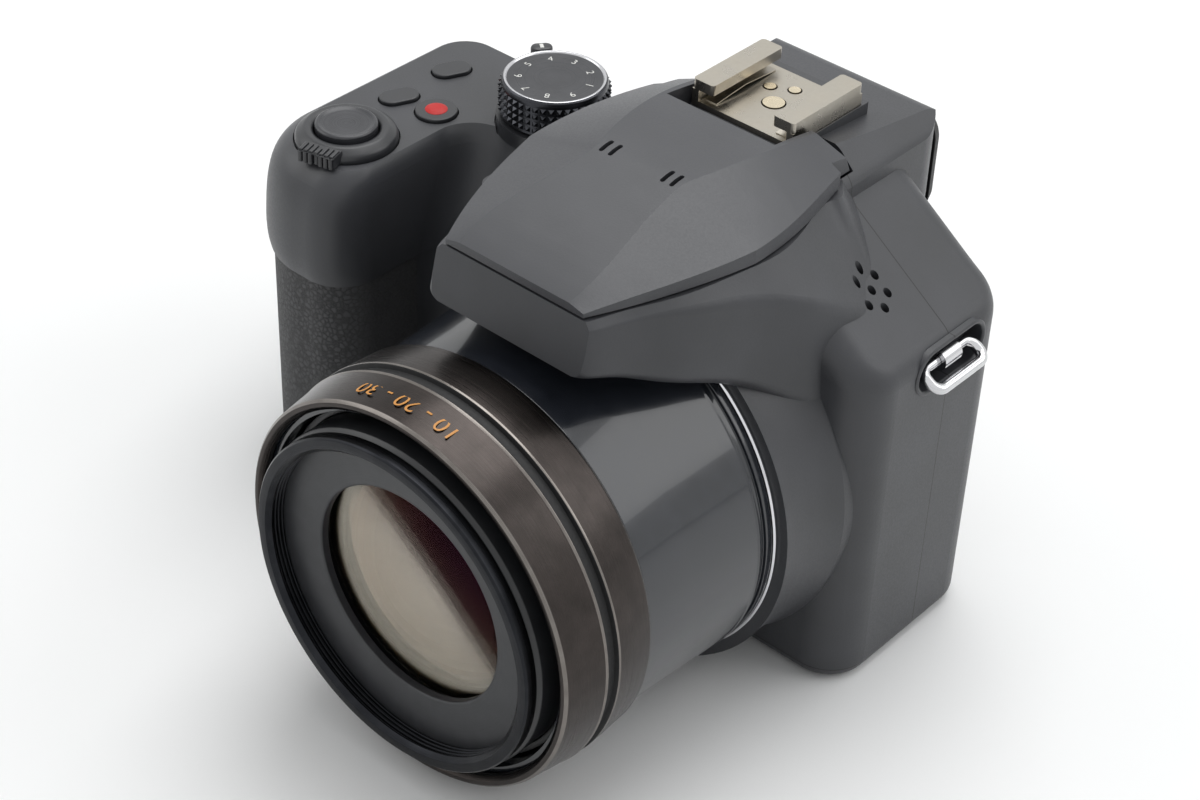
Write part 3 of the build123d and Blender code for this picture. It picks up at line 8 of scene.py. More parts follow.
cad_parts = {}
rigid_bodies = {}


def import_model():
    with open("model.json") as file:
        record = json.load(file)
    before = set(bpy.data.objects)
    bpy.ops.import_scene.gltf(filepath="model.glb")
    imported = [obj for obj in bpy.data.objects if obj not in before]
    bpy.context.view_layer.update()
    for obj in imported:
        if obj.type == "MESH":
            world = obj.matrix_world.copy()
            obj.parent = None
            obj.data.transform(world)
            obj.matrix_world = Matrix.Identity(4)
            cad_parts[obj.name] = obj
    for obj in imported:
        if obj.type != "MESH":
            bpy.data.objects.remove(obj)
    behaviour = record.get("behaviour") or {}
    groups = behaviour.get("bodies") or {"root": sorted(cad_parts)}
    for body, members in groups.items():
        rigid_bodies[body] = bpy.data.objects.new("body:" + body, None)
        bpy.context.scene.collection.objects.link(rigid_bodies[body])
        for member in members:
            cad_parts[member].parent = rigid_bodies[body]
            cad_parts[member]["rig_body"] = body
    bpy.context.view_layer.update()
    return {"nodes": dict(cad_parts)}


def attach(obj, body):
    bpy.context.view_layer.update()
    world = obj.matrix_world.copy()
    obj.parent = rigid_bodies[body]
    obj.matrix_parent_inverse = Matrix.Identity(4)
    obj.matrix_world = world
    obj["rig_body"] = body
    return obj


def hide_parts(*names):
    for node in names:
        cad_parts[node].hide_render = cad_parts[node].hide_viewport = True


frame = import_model()
nodes = frame["nodes"]

MM = 0.001
PER_MM = 1000.0  # texture scale that puts one grain into a millimetre
LENS_Z = 36.6  # height of the lens axis over the base
DIAL_AT = (-48.6, 7.6)  # mode dial and power lever
SHUTTER_AT = (-71.4, -22.6)  # shutter button and zoom lever
RECORD_AT = (-66.0, -5.2)  # record button
SEAM_Y = 5.0  # parting line between the front and the rear cover
BASE_SEAM_Z = 2.6  # parting line between the covers and the base
RIGHT_WALL_X = 42.4  # side walls that carry the strap loops
LEFT_WALL_X = -87.8
RIGHT_LOOP_Z = 61.0  # heights of the strap loops
LEFT_LOOP_Z = 52.5


# Colours and node materials


def colour(text):
    """An sRGB hex colour as linear RGBA."""
    parts = [int(text[i : i + 2], 16) / 255 for i in (1, 3, 5)]
    linear = [p / 12.92 if p <= 0.04045 else ((p + 0.055) / 1.055) ** 2.4 for p in parts]
    return (*linear, 1.0)


class Finish:
    """A material whose nodes are added one at a time."""

    def __init__(self, name):
        self.material = bpy.data.materials.new(name)
        self.material.use_nodes = True
        self.tree = self.material.node_tree
        self.shader = self.tree.nodes["Principled BSDF"]
        self.place = self.add("ShaderNodeTexCoord").outputs["Object"]

    def add(self, kind, settings=None, **links):
        """Adds a node; settings are attributes, links are values or sockets by input name or number."""
        node = self.tree.nodes.new(kind)
        for key, value in (settings or {}).items():
            setattr(node, key, value)
        for key, value in links.items():
            numbered = key[0] == "n" and key[1:].isdigit()
            target = node.inputs[int(key[1:]) if numbered else key.replace("_", " ")]
            self.feed(target, value)
        return node

    def feed(self, target, value):
        """Links a socket or sets a value."""
        if isinstance(value, bpy.types.NodeSocket):
            self.tree.links.new(value, target)
        else:
            target.default_value = value

    def surface(self, **values):
        """Sets inputs of the surface shader by name."""
        for key, value in values.items():
            self.feed(self.shader.inputs[key.replace("_", " ")], value)
        return self

    def math(self, operation, *values):
        """A math node's result."""
        node = self.add("ShaderNodeMath", {"operation": operation})
        for index, value in enumerate(values):
            self.feed(node.inputs[index], value)
        return node.outputs[0]

    def noise(self, grains, detail=4.0, rough=0.55, vector=None):
        """Noise over the object's own coordinates, with this many grains to the millimetre."""
        place = vector or self.place
        scale = grains * PER_MM
        node = self.add("ShaderNodeTexNoise", Scale=scale, Detail=detail, Roughness=rough, Vector=place)
        return node.outputs["Fac"]

    def mix(self, factor, first, second):
        """Mixes two colours."""
        node = self.add("ShaderNodeMix", {"data_type": "RGBA"})
        self.feed(node.inputs[0], factor)
        self.feed(node.inputs[6], first)
        self.feed(node.inputs[7], second)
        return node.outputs[2]

    def spread(self, value, low, high, to_low=0.0, to_high=1.0):
        """Maps a range onto another, clamped."""
        node = self.add("ShaderNodeMapRange")
        for index, item in enumerate((value, low, high, to_low, to_high)):
            self.feed(node.inputs[index], item)
        return node.outputs[0]

    def bump(self, height, depth, strength=1.0):
        """Turns a height into the shader's normal, this deep in millimetres, on top of any earlier bump."""
        node = self.add("ShaderNodeBump", Height=height, Distance=depth * MM, Strength=strength)
        earlier = self.shader.inputs["Normal"].links
        if earlier:
            self.feed(node.inputs["Normal"], earlier[0].from_socket)
        self.feed(self.shader.inputs["Normal"], node.outputs[0])
        return self

    def axes(self):
        """The object's x, y and z coordinates as sockets."""
        return self.add("ShaderNodeSeparateXYZ", Vector=self.place).outputs


def line_at(finish, coordinate, value, width):
    """1 on a thin line where the coordinate has the value, else 0."""
    away = finish.math("ABSOLUTE", finish.math("SUBTRACT", coordinate, value))
    return finish.math("LESS_THAN", away, width)


def distance_from(finish, across, up, centre):
    """The distance from an axis, from two coordinates and the axis's place in metres."""
    squares = []
    for coordinate, middle in zip((across, up), centre):
        squares.append(finish.math("POWER", finish.math("SUBTRACT", coordinate, middle), 2.0))
    return finish.math("SQRT", finish.math("ADD", *squares))


def moulded(name, tone, light, rough, grains=2.6, depth=0.03, seams=()):
    """Moulded plastic with a matt spark-eroded grain of about 0.4 mm and dark parting lines."""
    seam_half = 0.11 * MM
    f = Finish(name)
    fine = f.noise(grains, 3.0, 0.6)
    cloud = f.noise(0.06, 2.0)
    tint = f.mix(f.spread(cloud, 0.3, 0.7), colour(tone), colour(light))
    x, y, z = f.axes()
    for axis_name, value in seams:
        axis = {"x": x, "y": y, "z": z}[axis_name]
        tint = f.mix(line_at(f, axis, value * MM, seam_half), tint, colour("#050506"))
    gloss = f.spread(fine, 0.3, 0.7, rough - 0.05, rough + 0.07)
    f.surface(Base_Color=tint, Roughness=gloss, IOR=1.5)
    return f.bump(fine, depth, 0.55).material


def leather(name):
    """Black rubber moulded with a leather grain of about 1 mm, which scatters the light softly; the grooves
    between the grains are painted darker as shade, and their tops lighter.
    """
    shift = (0.8 * MM,) * 3
    f = Finish(name)
    warp = f.add("ShaderNodeTexNoise", Scale=0.7 * PER_MM, Detail=2.0).outputs["Color"]
    bend = {"operation": "MULTIPLY_ADD"}
    bent = f.add("ShaderNodeVectorMath", bend, n0=warp, n1=shift, n2=f.place).outputs[0]
    edges = {"feature": "DISTANCE_TO_EDGE"}
    cells = f.add("ShaderNodeTexVoronoi", edges, Scale=0.95 * PER_MM, Vector=bent)
    ridge = f.spread(cells.outputs["Distance"], 0.0, 0.16)
    fine = f.noise(3.8, 3.0)
    # painted shade: the rubber's tint is darker along the grooves between the grains and lighter on their
    # raised tops
    tint = f.mix(ridge, colour("#1d1d1e"), colour("#3b3b3d"))
    f.surface(Base_Color=tint, Roughness=f.spread(fine, 0.2, 0.8, 0.5, 0.66), IOR=1.5)
    f.bump(ridge, 0.09, 0.7)
    return f.bump(fine, 0.02, 0.4).material


def turned_metal(name, tone, rough, around="lens", light=None, metal=1.0, depth=0.012):
    """Turned metal or plastic, whose cuts of about 0.1 mm round its axis draw the light into streaks."""
    f = Finish(name)
    x, y, z = f.axes()
    if around == "lens":
        reach = distance_from(f, x, z, (0.0, LENS_Z * MM))
        along = y
    else:
        reach = distance_from(f, x, y, (around[0] * MM, around[1] * MM))
        along = z
    spot = f.add("ShaderNodeCombineXYZ", X=reach, Y=along).outputs[0]
    cuts = f.noise(9.0, 2.0, 0.7, spot)
    haze = f.noise(0.3, 3.0)
    tint = f.mix(f.spread(haze, 0.35, 0.7), colour(tone), colour(light or tone))
    gloss = f.spread(cuts, 0.25, 0.75, rough - 0.06, rough + 0.08)
    f.surface(Base_Color=tint, Metallic=metal, Roughness=gloss)
    return f.bump(cuts, depth, 0.5).material


def polished(name, tone, rough, metal=1.0, coat=0.0, grains=0.5, depth=0.006, light=None):
    """A smooth finish whose faint handling marks of about 2 mm soften its reflections here and there."""
    f = Finish(name)
    smear = f.noise(grains, 4.0, 0.6)
    fine = f.noise(grains * 9, 2.0)
    tint = f.mix(f.spread(smear, 0.3, 0.75), colour(tone), colour(light or tone))
    f.surface(Base_Color=tint, Metallic=metal, Coat_Weight=coat, Coat_Roughness=0.04)
    f.surface(Roughness=f.spread(smear, 0.3, 0.7, rough * 0.8, rough * 1.25))
    return f.bump(fine, depth, 0.35).material


def glassy(name, tone, film, index, rough=0.01):
    """Optical glass; a coating's thickness in nanometres sets the colour of its reflections."""
    f = Finish(name)
    dust = f.noise(4.0, 2.0)
    f.surface(Base_Color=colour(tone), Transmission_Weight=1.0, IOR=index)
    f.surface(Thin_Film_Thickness=film, Thin_Film_IOR=1.38)
    f.surface(Roughness=f.spread(dust, 0.6, 0.8, rough, rough + 0.03))
    return f.material


def circuit(name):
    """Green solder mask with fine raised tracks, which show as a pale net."""
    f = Finish(name)
    tracks = f.add("ShaderNodeTexBrick", Scale=0.9 * PER_MM, Vector=f.place)
    tint = f.mix(tracks.outputs["Fac"], colour("#0d3d1e"), colour("#1c6a36"))
    f.surface(Base_Color=tint, Roughness=0.35)
    return f.bump(tracks.outputs["Fac"], 0.03, 0.5).material


COVER_SEAMS = (("y", SEAM_Y), ("z", BASE_SEAM_Z))

# Casings and buttons: a matt charcoal grain, finer and a little glossier on the top plate and the buttons
casing_plastic = moulded("charcoal moulded casing", "#36373a", "#3d3e42", 0.42, seams=COVER_SEAMS)
head_plastic = moulded("charcoal moulded top plate", "#36373a", "#3d3e42", 0.38, 3.2, 0.02)
lid_plastic = moulded("charcoal moulded flash lid", "#393a3e", "#404145", 0.38, 2.9, 0.025)
button_plastic = moulded("satin black button plastic", "#2b2c2f", "#313235", 0.33, 4.2, 0.012)
# near-black moulding for the lens cells and mounts, also used as painted shade in the groove and the bore of
# the lens ring
black_moulding_and_groove_shade = moulded("black inner moulding and painted groove shade", "#08080a", "#0c0c0e", 0.6, 2.0)

# Rubber: a soft leather relief on the grip, plain matt black on the eyecup
grip_leather = leather("leather-grain grip rubber")
cup_rubber = moulded("matt black rubber", "#101011", "#161617", 0.62, 2.2, 0.03)

# Lens: a barrel that mirrors its surroundings, and turned rings with fine bright streaks
barrel_gloss = polished("gloss blue-black lens barrel", "#1c1f25", 0.2, 0.0, 0.5, 0.26, 0.004, "#23262d")
ring_anodised = turned_metal("turned brown-black anodised ring", "#3b3735", 0.27, light="#423d3b")
ring_edge = turned_metal("cut chamfer of the ring", "#7d7874", 0.24, light="#6f6a66")
tube_black = turned_metal("satin black zoom tube", "#1d1e20", 0.34, light="#242527", metal=0.0)
filter_black = turned_metal("black anodised filter ring", "#26272a", 0.3, light="#2d2e31")

# Bare metals: mirror-bright chrome and wire, softer nickel, gold, brass and steel
chrome = polished("polished chrome", "#d9d9dc", 0.12)
nickel = polished("satin nickel shoe", "#b3aea4", 0.3, light="#a59f94", grains=0.22, depth=0.002)
wire_steel = polished("bright steel wire", "#cfcfd1", 0.16)
gold = polished("pale gold-plated contact", "#d9cdb4", 0.25)
brass = polished("turned brass socket", "#a08550", 0.3)
sheet_steel = polished("pressed steel sheet", "#8d8d8f", 0.33, light="#7b7b7e")
screw_black = polished("black zinc screw", "#232326", 0.3)

# Face plate and dials: spun faces whose cuts draw the light into fans
face_grey = turned_metal("grey face plate", "#2c2d30", 0.42, light="#333437", metal=0.0)
dial_top_black = turned_metal("spun black dial top", "#2e2f33", 0.3, DIAL_AT, "#37383c", metal=0.0)
dial_bright = turned_metal("bright cut dial ring", "#c9c9cc", 0.22, DIAL_AT)
dial_side = turned_metal("dark anodised knurl", "#3c3d41", 0.28, DIAL_AT, "#47484c")
shutter_spun = turned_metal("spun shutter cap", "#2e2f33", 0.28, SHUTTER_AT, "#37383c", metal=0.0)

# Printed marks: flat colours with hardly any shine
record_red = polished("red record mark", "#b80c08", 0.5, 0.0)
mark_white = polished("white pad-printed mark", "#dcdcd8", 0.5, 0.0)
mark_orange = polished("orange-gold pad-printed mark", "#c98a3c", 0.42, 0.0)

# Glass: clear bodies, with a coating that tints the reflections of the front and the zoom glass
lens_glass = glassy("coated front glass", "#fffaf2", 105.0, 1.8)
dense_glass = glassy("dense inner glass", "#fffdf8", 0.0, 1.9)
inner_glass = glassy("coated inner glass", "#f2f6ff", 330.0, 1.52)

# Screen, flash and inner parts
screen_gloss = polished("gloss screen window", "#050608", 0.08, 0.0, 0.8, 0.12, 0.002, "#07080b")
diffuser = polished("frosted flash window", "#cfd3d8", 0.4, 0.0, 0.2)
reflector_bright = polished("bright flash reflector", "#e6e6e8", 0.1)
board_green = circuit("green circuit board")
sensor_blue = polished("image sensor glass", "#20305a", 0.08, 0.0, 0.7)
cell_grey = moulded("grey inner moulding", "#2c2d30", "#35363a", 0.5)
battery_grey = moulded("battery sleeve", "#3a3b3f", "#424348", 0.45)

node_finish = {
    "front_cover": casing_plastic,
    "rear_cover": casing_plastic,
    "base_cover": casing_plastic,
    "top_cover": head_plastic,
    "grip_rubber": grip_leather,
    "thumb_rest": grip_leather,
    "lens_barrel": barrel_gloss,
    "barrel_base_ring": chrome,
    "lens_ring": ring_anodised,
    "middle_tube": tube_black,
    "front_tube": tube_black,
    "filter_ring": filter_black,
    "name_ring": face_grey,
    "front_lens": lens_glass,
    "front_lens_cell": black_moulding_and_groove_shade,
    "zoom_lens": inner_glass,
    "chassis": sheet_steel,
    "main_board": board_green,
    "image_sensor": sensor_blue,
    "screen_panel": screen_gloss,
    "screen_glass": screen_gloss,
    "finder_panel": screen_gloss,
    "eyepiece_lens": inner_glass,
    "eyecup": cup_rubber,
    "dioptre_dial": button_plastic,
    "hot_shoe": nickel,
    "hot_shoe_contacts": gold,
    "flash_lid": lid_plastic,
    "flash_housing": cell_grey,
    "flash_window": diffuser,
    "flash_reflector": reflector_bright,
    "flash_tube": inner_glass,
    "microphones": sheet_steel,
    "shutter_button": shutter_spun,
    "zoom_lever": button_plastic,
    "record_button": button_plastic,
    "function_button_front": button_plastic,
    "function_button_rear": button_plastic,
    "power_lever": button_plastic,
    "mode_dial": dial_side,
    "playback_button": button_plastic,
    "focus_button": button_plastic,
    "display_button": button_plastic,
    "delete_button": button_plastic,
    "af_lock_button": button_plastic,
    "cursor_pad": button_plastic,
    "set_button": button_plastic,
    "rear_dial": button_plastic,
    "hinge_pins": wire_steel,
    "tripod_socket": brass,
    "battery_door": casing_plastic,
    "battery_latch": button_plastic,
    "battery": battery_grey,
    "memory_card": battery_grey,
    "speaker": sheet_steel,
    "terminal_door": casing_plastic,
    "strap_loop_right": wire_steel,
    "strap_loop_left": wire_steel,
    "strap_eyes": wire_steel,
    "body_screws": screw_black,
}
for name, material in node_finish.items():
    nodes[name].data.materials.clear()
    nodes[name].data.materials.append(material)


# Mesh builders


def piece(name, verts, faces, materials, body, indices=None, stands_for=(), angle=32.0):
    """A finished mesh piece on a CAD body, from points in millimetres."""
    mesh = bpy.data.meshes.new(name)
    mesh.from_pydata([Vector(v) * MM for v in verts], [], faces)
    for material in materials if isinstance(materials, (list, tuple)) else [materials]:
        mesh.materials.append(material)
    if indices:
        for polygon, index in zip(mesh.polygons, indices):
            polygon.material_index = index
    return finish_piece(name, mesh, body, stands_for, angle)


def finish_piece(name, mesh, body, stands_for=(), angle=32.0):
    """Welds, turns outwards and smooths a mesh, then hangs it on its body."""
    work = bmesh.new()
    work.from_mesh(mesh)
    bmesh.ops.remove_doubles(work, verts=work.verts, dist=0.000001)
    bmesh.ops.delete(work, geom=[edge for edge in work.edges if not edge.link_faces], context="EDGES")
    bmesh.ops.recalc_face_normals(work, faces=work.faces)
    work.to_mesh(mesh)
    work.free()
    mesh.shade_smooth()
    mesh.set_sharp_from_angle(angle=math.radians(angle))
    obj = bpy.data.objects.new(name, mesh)
    bpy.context.scene.collection.objects.link(obj)
    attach(obj, body)
    if stands_for:
        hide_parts(*stands_for)
    return obj


def eased(profile, radius, steps=3):
    """A closed profile of (reach, along, index) with each corner rounded."""
    out = []
    count = len(profile)
    for i in range(count):
        here = Vector(profile[i][:2])
        before = Vector(profile[i - 1][:2]) - here
        after = Vector(profile[(i + 1) % count][:2]) - here
        limit = min(radius, before.length * 0.45, after.length * 0.45)
        if limit < 0.01 or here.x < 0.01:
            out.append((here.x, here.y, profile[i][2]))
            continue
        start = here + before.normalized() * limit
        end = here + after.normalized() * limit
        for step in range(steps + 1):
            t = step / steps
            point = start * (1 - t) ** 2 + here * 2 * t * (1 - t) + end * t * t
            index = profile[i][2] if step * 2 >= steps else profile[i - 1][2]
            out.append((point.x, point.y, index))
    return out


def turned(name, profile, materials, body, centre=None, ease=0.18, count=160, stands_for=(), angle=32.0):
    """A piece turned about the lens axis, or an upright axis at the centre, from (reach, along, index)."""
    corners = [(p[0], p[1], p[2] if len(p) > 2 else 0) for p in profile]
    ring = eased(corners, ease) if ease else corners
    verts, faces, indices = [], [], []
    for k in range(count):
        turn = 2 * math.pi * k / count
        for reach, along, _ in ring:
            if centre is None:
                verts.append((reach * math.sin(turn), along, LENS_Z + reach * math.cos(turn)))
            else:
                verts.append((centre[0] + reach * math.cos(turn), centre[1] + reach * math.sin(turn), along))
    size = len(ring)
    for k in range(count):
        low = k * size
        high = (k + 1) % count * size
        for j in range(size):
            nxt = (j + 1) % size
            faces.append((low + j, low + nxt, high + nxt, high + j))
            indices.append(ring[j][2])
    return piece(name, verts, faces, materials, body, indices, stands_for, angle)


def turned_for(node, profile, materials, body, **settings):
    """A turned piece that is shown in the place of a CAD node."""
    return turned(node + "_turned", profile, materials, body, stands_for=[node], **settings)


def softened(node, name, width, angle=28.0, segments=2):
    """A copy of a CAD node with its hard edges rounded, shown in its place."""
    mesh = nodes[node].data.copy()
    work = bmesh.new()
    work.from_mesh(mesh)
    bmesh.ops.remove_doubles(work, verts=work.verts, dist=0.000002)
    bmesh.ops.dissolve_limit(work, angle_limit=math.radians(1.0), verts=work.verts, edges=work.edges)
    work.to_mesh(mesh)
    work.free()
    mesh.shade_smooth()
    obj = bpy.data.objects.new(name + "_work", mesh)
    bpy.context.scene.collection.objects.link(obj)
    bevel = obj.modifiers.new("round", "BEVEL")
    bevel.width = width * MM
    bevel.segments = segments
    bevel.limit_method = "ANGLE"
    bevel.angle_limit = math.radians(angle)
    bevel.use_clamp_overlap = True
    flat = obj.modifiers.new("flat", "WEIGHTED_NORMAL")
    flat.weight = 100
    final = bpy.data.meshes.new_from_object(obj.evaluated_get(bpy.context.evaluated_depsgraph_get()))
    bpy.data.objects.remove(obj)
    out = bpy.data.objects.new(name, final)
    bpy.context.scene.collection.objects.link(out)
    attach(out, nodes[node]["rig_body"])
    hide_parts(node)
    return out


def copies_around(name, stud, material, body, centre, rows, count, radius, stagger=0.5):
    """Geometry Nodes ring: copies of a stud mesh round an upright axis, in rows at given heights."""
    tree = bpy.data.node_groups.new(name + " ring", "GeometryNodeTree")
    face = tree.interface
    face.new_socket("Geometry", in_out="INPUT", socket_type="NodeSocketGeometry")
    sizes = (("Copies", "NodeSocketInt", count), ("Radius", "NodeSocketFloat", radius * MM))
    for label, kind, value in sizes:
        face.new_socket(label, in_out="INPUT", socket_type=kind).default_value = value
    face.new_socket("Geometry", in_out="OUTPUT", socket_type="NodeSocketGeometry")
    make = tree.nodes.new
    link = tree.links.new
    inp, out = make("NodeGroupInput"), make("NodeGroupOutput")
    join = make("GeometryNodeJoinGeometry")
    for row, height in enumerate(rows):
        circle = make("GeometryNodeMeshCircle")
        link(inp.outputs["Copies"], circle.inputs["Vertices"])
        link(inp.outputs["Radius"], circle.inputs["Radius"])
        points = make("GeometryNodeMeshToPoints")
        link(circle.outputs[0], points.inputs["Mesh"])
        order = make("GeometryNodeInputIndex")
        turn = make("ShaderNodeMath")
        turn.operation = "MULTIPLY"
        link(order.outputs[0], turn.inputs[0])
        turn.inputs[1].default_value = 2 * math.pi / count
        spin = make("ShaderNodeCombineXYZ")
        link(turn.outputs[0], spin.inputs[2])
        spread = make("GeometryNodeInstanceOnPoints")
        link(points.outputs[0], spread.inputs["Points"])
        link(inp.outputs["Geometry"], spread.inputs["Instance"])
        link(spin.outputs[0], spread.inputs["Rotation"])
        shift = make("GeometryNodeTransform")
        link(spread.outputs[0], shift.inputs["Geometry"])
        shift.inputs["Translation"].default_value = Vector((centre[0], centre[1], height)) * MM
        shift.inputs["Rotation"].default_value = (0, 0, 2 * math.pi / count * stagger * (row % 2))
        link(shift.outputs[0], join.inputs[0])
    real = make("GeometryNodeRealizeInstances")
    link(join.outputs[0], real.inputs[0])
    paint = make("GeometryNodeSetMaterial")
    link(real.outputs[0], paint.inputs["Geometry"])
    paint.inputs["Material"].default_value = material
    link(paint.outputs[0], out.inputs[0])
    mesh = bpy.data.meshes.new(name + "_stud")
    mesh.from_pydata([Vector(v) * MM for v in stud[0]], [], stud[1])
    host = bpy.data.objects.new(name + "_host", mesh)
    bpy.context.scene.collection.objects.link(host)
    host.modifiers.new("ring", "NODES").node_group = tree
    final = bpy.data.meshes.new_from_object(host.evaluated_get(bpy.context.evaluated_depsgraph_get()))
    bpy.data.objects.remove(host)
    return finish_piece(name, final, body, (), 25.0)


def digits(name, text, size, material, body, place, depth=0.04):
    """Plain printed figures; place maps (right, up, proud) in millimetres to a point."""
    curve = bpy.data.curves.new(name + "_font", "FONT")
    curve.body = text
    curve.size = size * MM
    curve.offset = -0.006 * size * MM
    curve.extrude = depth * MM / 2
    curve.align_x = "CENTER"
    curve.align_y = "CENTER"
    curve.resolution_u = 4
    host = bpy.data.objects.new(name + "_host", curve)
    bpy.context.scene.collection.objects.link(host)
    mesh = bpy.data.meshes.new_from_object(host.evaluated_get(bpy.context.evaluated_depsgraph_get()))
    bpy.data.objects.remove(host)
    cut = bmesh.new()
    cut.from_mesh(mesh)
    bmesh.ops.remove_doubles(cut, verts=cut.verts, dist=0.0000005)
    cut.to_mesh(mesh)
    cut.free()
    for vertex in mesh.vertices:
        right, up, proud = vertex.co / MM
        vertex.co = Vector(place(right, up, proud)) * MM
    mesh.materials.clear()
    mesh.materials.append(material)
    return finish_piece(name, mesh, body, (), 30.0)


def on_ring(reach, along, centre_angle):
    """A place on the lens ring, read from behind the camera."""

    def place(right, up, proud):
        a = math.radians(centre_angle) - right / reach
        r = reach + proud
        return (r * math.sin(a), along - up, LENS_Z + r * math.cos(a))

    return place


def on_dial(reach, height, turn):
    """A place on the top of the mode dial, with the figures' feet towards the middle."""

    def place(right, up, proud):
        a = math.radians(turn)
        out = (math.cos(a), math.sin(a))
        side = (math.sin(a), -math.cos(a))
        x = DIAL_AT[0] + out[0] * (reach + up) + side[0] * right
        y = DIAL_AT[1] + out[1] * (reach + up) + side[1] * right
        return (x, y, height + proud)

    return place


def facing(degrees):
    """The outward and the sideways direction at a turn in plan."""
    a = math.radians(degrees)
    return Vector((math.cos(a), math.sin(a))), Vector((-math.sin(a), math.cos(a)))


def slab(name, outline, z0, z1, material, body, ease=0.25, stands_for=(), angle=32.0):
    """An upright prism of a plan outline, with its top edge eased."""
    count = len(outline)
    middle = sum((Vector(p) for p in outline), Vector((0, 0))) / count
    inner = []
    for i, point in enumerate(outline):
        before, after = Vector(outline[i - 1]), Vector(outline[(i + 1) % count])
        tangent = (after - before).normalized()
        normal = Vector((-tangent.y, tangent.x))
        if normal.dot(middle - Vector(point)) < 0:
            normal = -normal
        inner.append(Vector(point) + normal * ease)
    shoulder = [Vector(o) * 0.6 + Vector(i) * 0.4 for o, i in zip(outline, inner)]
    rings = [(outline, z0), (outline, z1 - ease), (shoulder, z1 - ease * 0.3), (inner, z1)]
    verts = [(p[0], p[1], z) for ring, z in rings for p in ring]
    faces = []
    for level in range(len(rings) - 1):
        for i in range(count):
            nxt = (i + 1) % count
            a, b = level * count, (level + 1) * count
            faces.append((a + i, a + nxt, b + nxt, b + i))
    faces.append(tuple(range(count - 1, -1, -1)))
    faces.append(tuple(range((len(rings) - 1) * count, len(rings) * count)))
    return piece(name, verts, faces, material, body, None, stands_for, angle)


def wire(name, route, radius, material, body, sides=14, stands_for=()):
    """A closed round wire along a route of points."""
    count = len(route)
    points = [Vector(p) for p in route]
    normal = (points[1] - points[0]).cross(points[count // 4] - points[0]).normalized()
    verts, faces = [], []
    for i, point in enumerate(points):
        along = (points[(i + 1) % count] - points[i - 1]).normalized()
        side = along.cross(normal).normalized()
        for k in range(sides):
            a = 2 * math.pi * k / sides
            verts.append(point + side * (radius * math.cos(a)) + normal * (radius * math.sin(a)))
    for i in range(count):
        nxt = (i + 1) % count
        for k in range(sides):
            k2 = (k + 1) % sides
            faces.append((i * sides + k, i * sides + k2, nxt * sides + k2, nxt * sides + k))
    return piece(name, verts, faces, material, body, None, stands_for, 60.0)


# Lens: radii and places along its axis, in millimetres

FILTER_RADIUS = 27.5  # half of a 55 mm filter thread; the other radii follow from it
FILTER_OUTER = FILTER_RADIUS + 2.6
FILTER_SHANK = FILTER_RADIUS + 1.74
FRONT_TUBE = FILTER_RADIUS + 3.0
FRONT_TUBE_BORE = FILTER_SHANK + 0.08
MIDDLE_TUBE_BORE = FRONT_TUBE + 0.1
MIDDLE_TUBE = MIDDLE_TUBE_BORE + 1.1
BARREL_BORE = MIDDLE_TUBE + 0.4
RING_SEAT = BARREL_BORE + 1.3
RING_BORE = RING_SEAT + 0.1
RING_MOUTH = RING_BORE - 0.5
GLASS_RADIUS = FILTER_RADIUS - 6.0
CELL_OUTER = FILTER_SHANK - 0.04
CELL_LIP = GLASS_RADIUS - 2.2
FILTER_FRONT_Y = -83.5  # front end of the lens; the other places follow from it
FILTER_FOOT_Y = FILTER_FRONT_Y + 3.4
FRONT_TUBE_Y = FILTER_FRONT_Y + 2.35
RING_FRONT_Y = FILTER_FRONT_Y + 3.5
RING_REAR_Y = RING_FRONT_Y + 19.25
MIDDLE_TUBE_Y = RING_FRONT_Y + 5.0
CELL_REAR_Y = FILTER_FRONT_Y + 13.0
MOUNT_FRONT_Y = CELL_REAR_Y + 0.05
THIRD_GLASS_RADIUS = 14.0
ZOOM_GLASS_RADIUS = 14.0
DOME_STEPS = 14
GLASS_ANGLE = 50.0  # edges of the glass that are sharper than this many degrees stay crisp
FINE = 224  # sides of the largest turned pieces


def dome(radius, pole_y, depth, outwards):
    """The half outline of a lens surface, from the pole outwards or from the edge to the pole."""
    shares = [step / DOME_STEPS for step in range(DOME_STEPS + 1)]
    if not outwards:
        shares = [1 - share for share in shares]
    return [(radius * share, pole_y + depth * share**2) for share in shares]


def lens_ring_piece():
    """The turned ring, with its bright chamfers, its groove painted near-black as shade, and its plain
    figures.
    """
    front, rear = RING_FRONT_Y, RING_REAR_Y
    ring = [
        (RING_MOUTH, front + 0.8, 0), (33.8, front, 0), (34.5, front, 1), (35.0, front + 0.5, 0),
        (36.0, -72.1, 1), (36.2, -71.6, 2), (35.3, -71.0, 2), (35.3, -69.4, 2), (36.2, -69.2, 1),
        (36.25, -68.8, 0), (35.8, -61.4, 1), (35.3, rear, 0), (RING_BORE, rear, 2),
        (RING_BORE, front + 1.6, 2), (RING_MOUTH, front + 1.6, 2),
    ]
    # the groove and the bore of the ring take the near-black moulding, as painted shade
    finishes = [ring_anodised, ring_edge, black_moulding_and_groove_shade]
    turned_for("lens_ring", ring, finishes, "lens_ring", ease=0.12, count=FINE)
    figures = on_ring(35.62, -75.7, -4.0)
    digits("lens_ring_figures", "10 - 20 - 30", 4.5, mark_orange, "lens_ring", figures, 0.05)


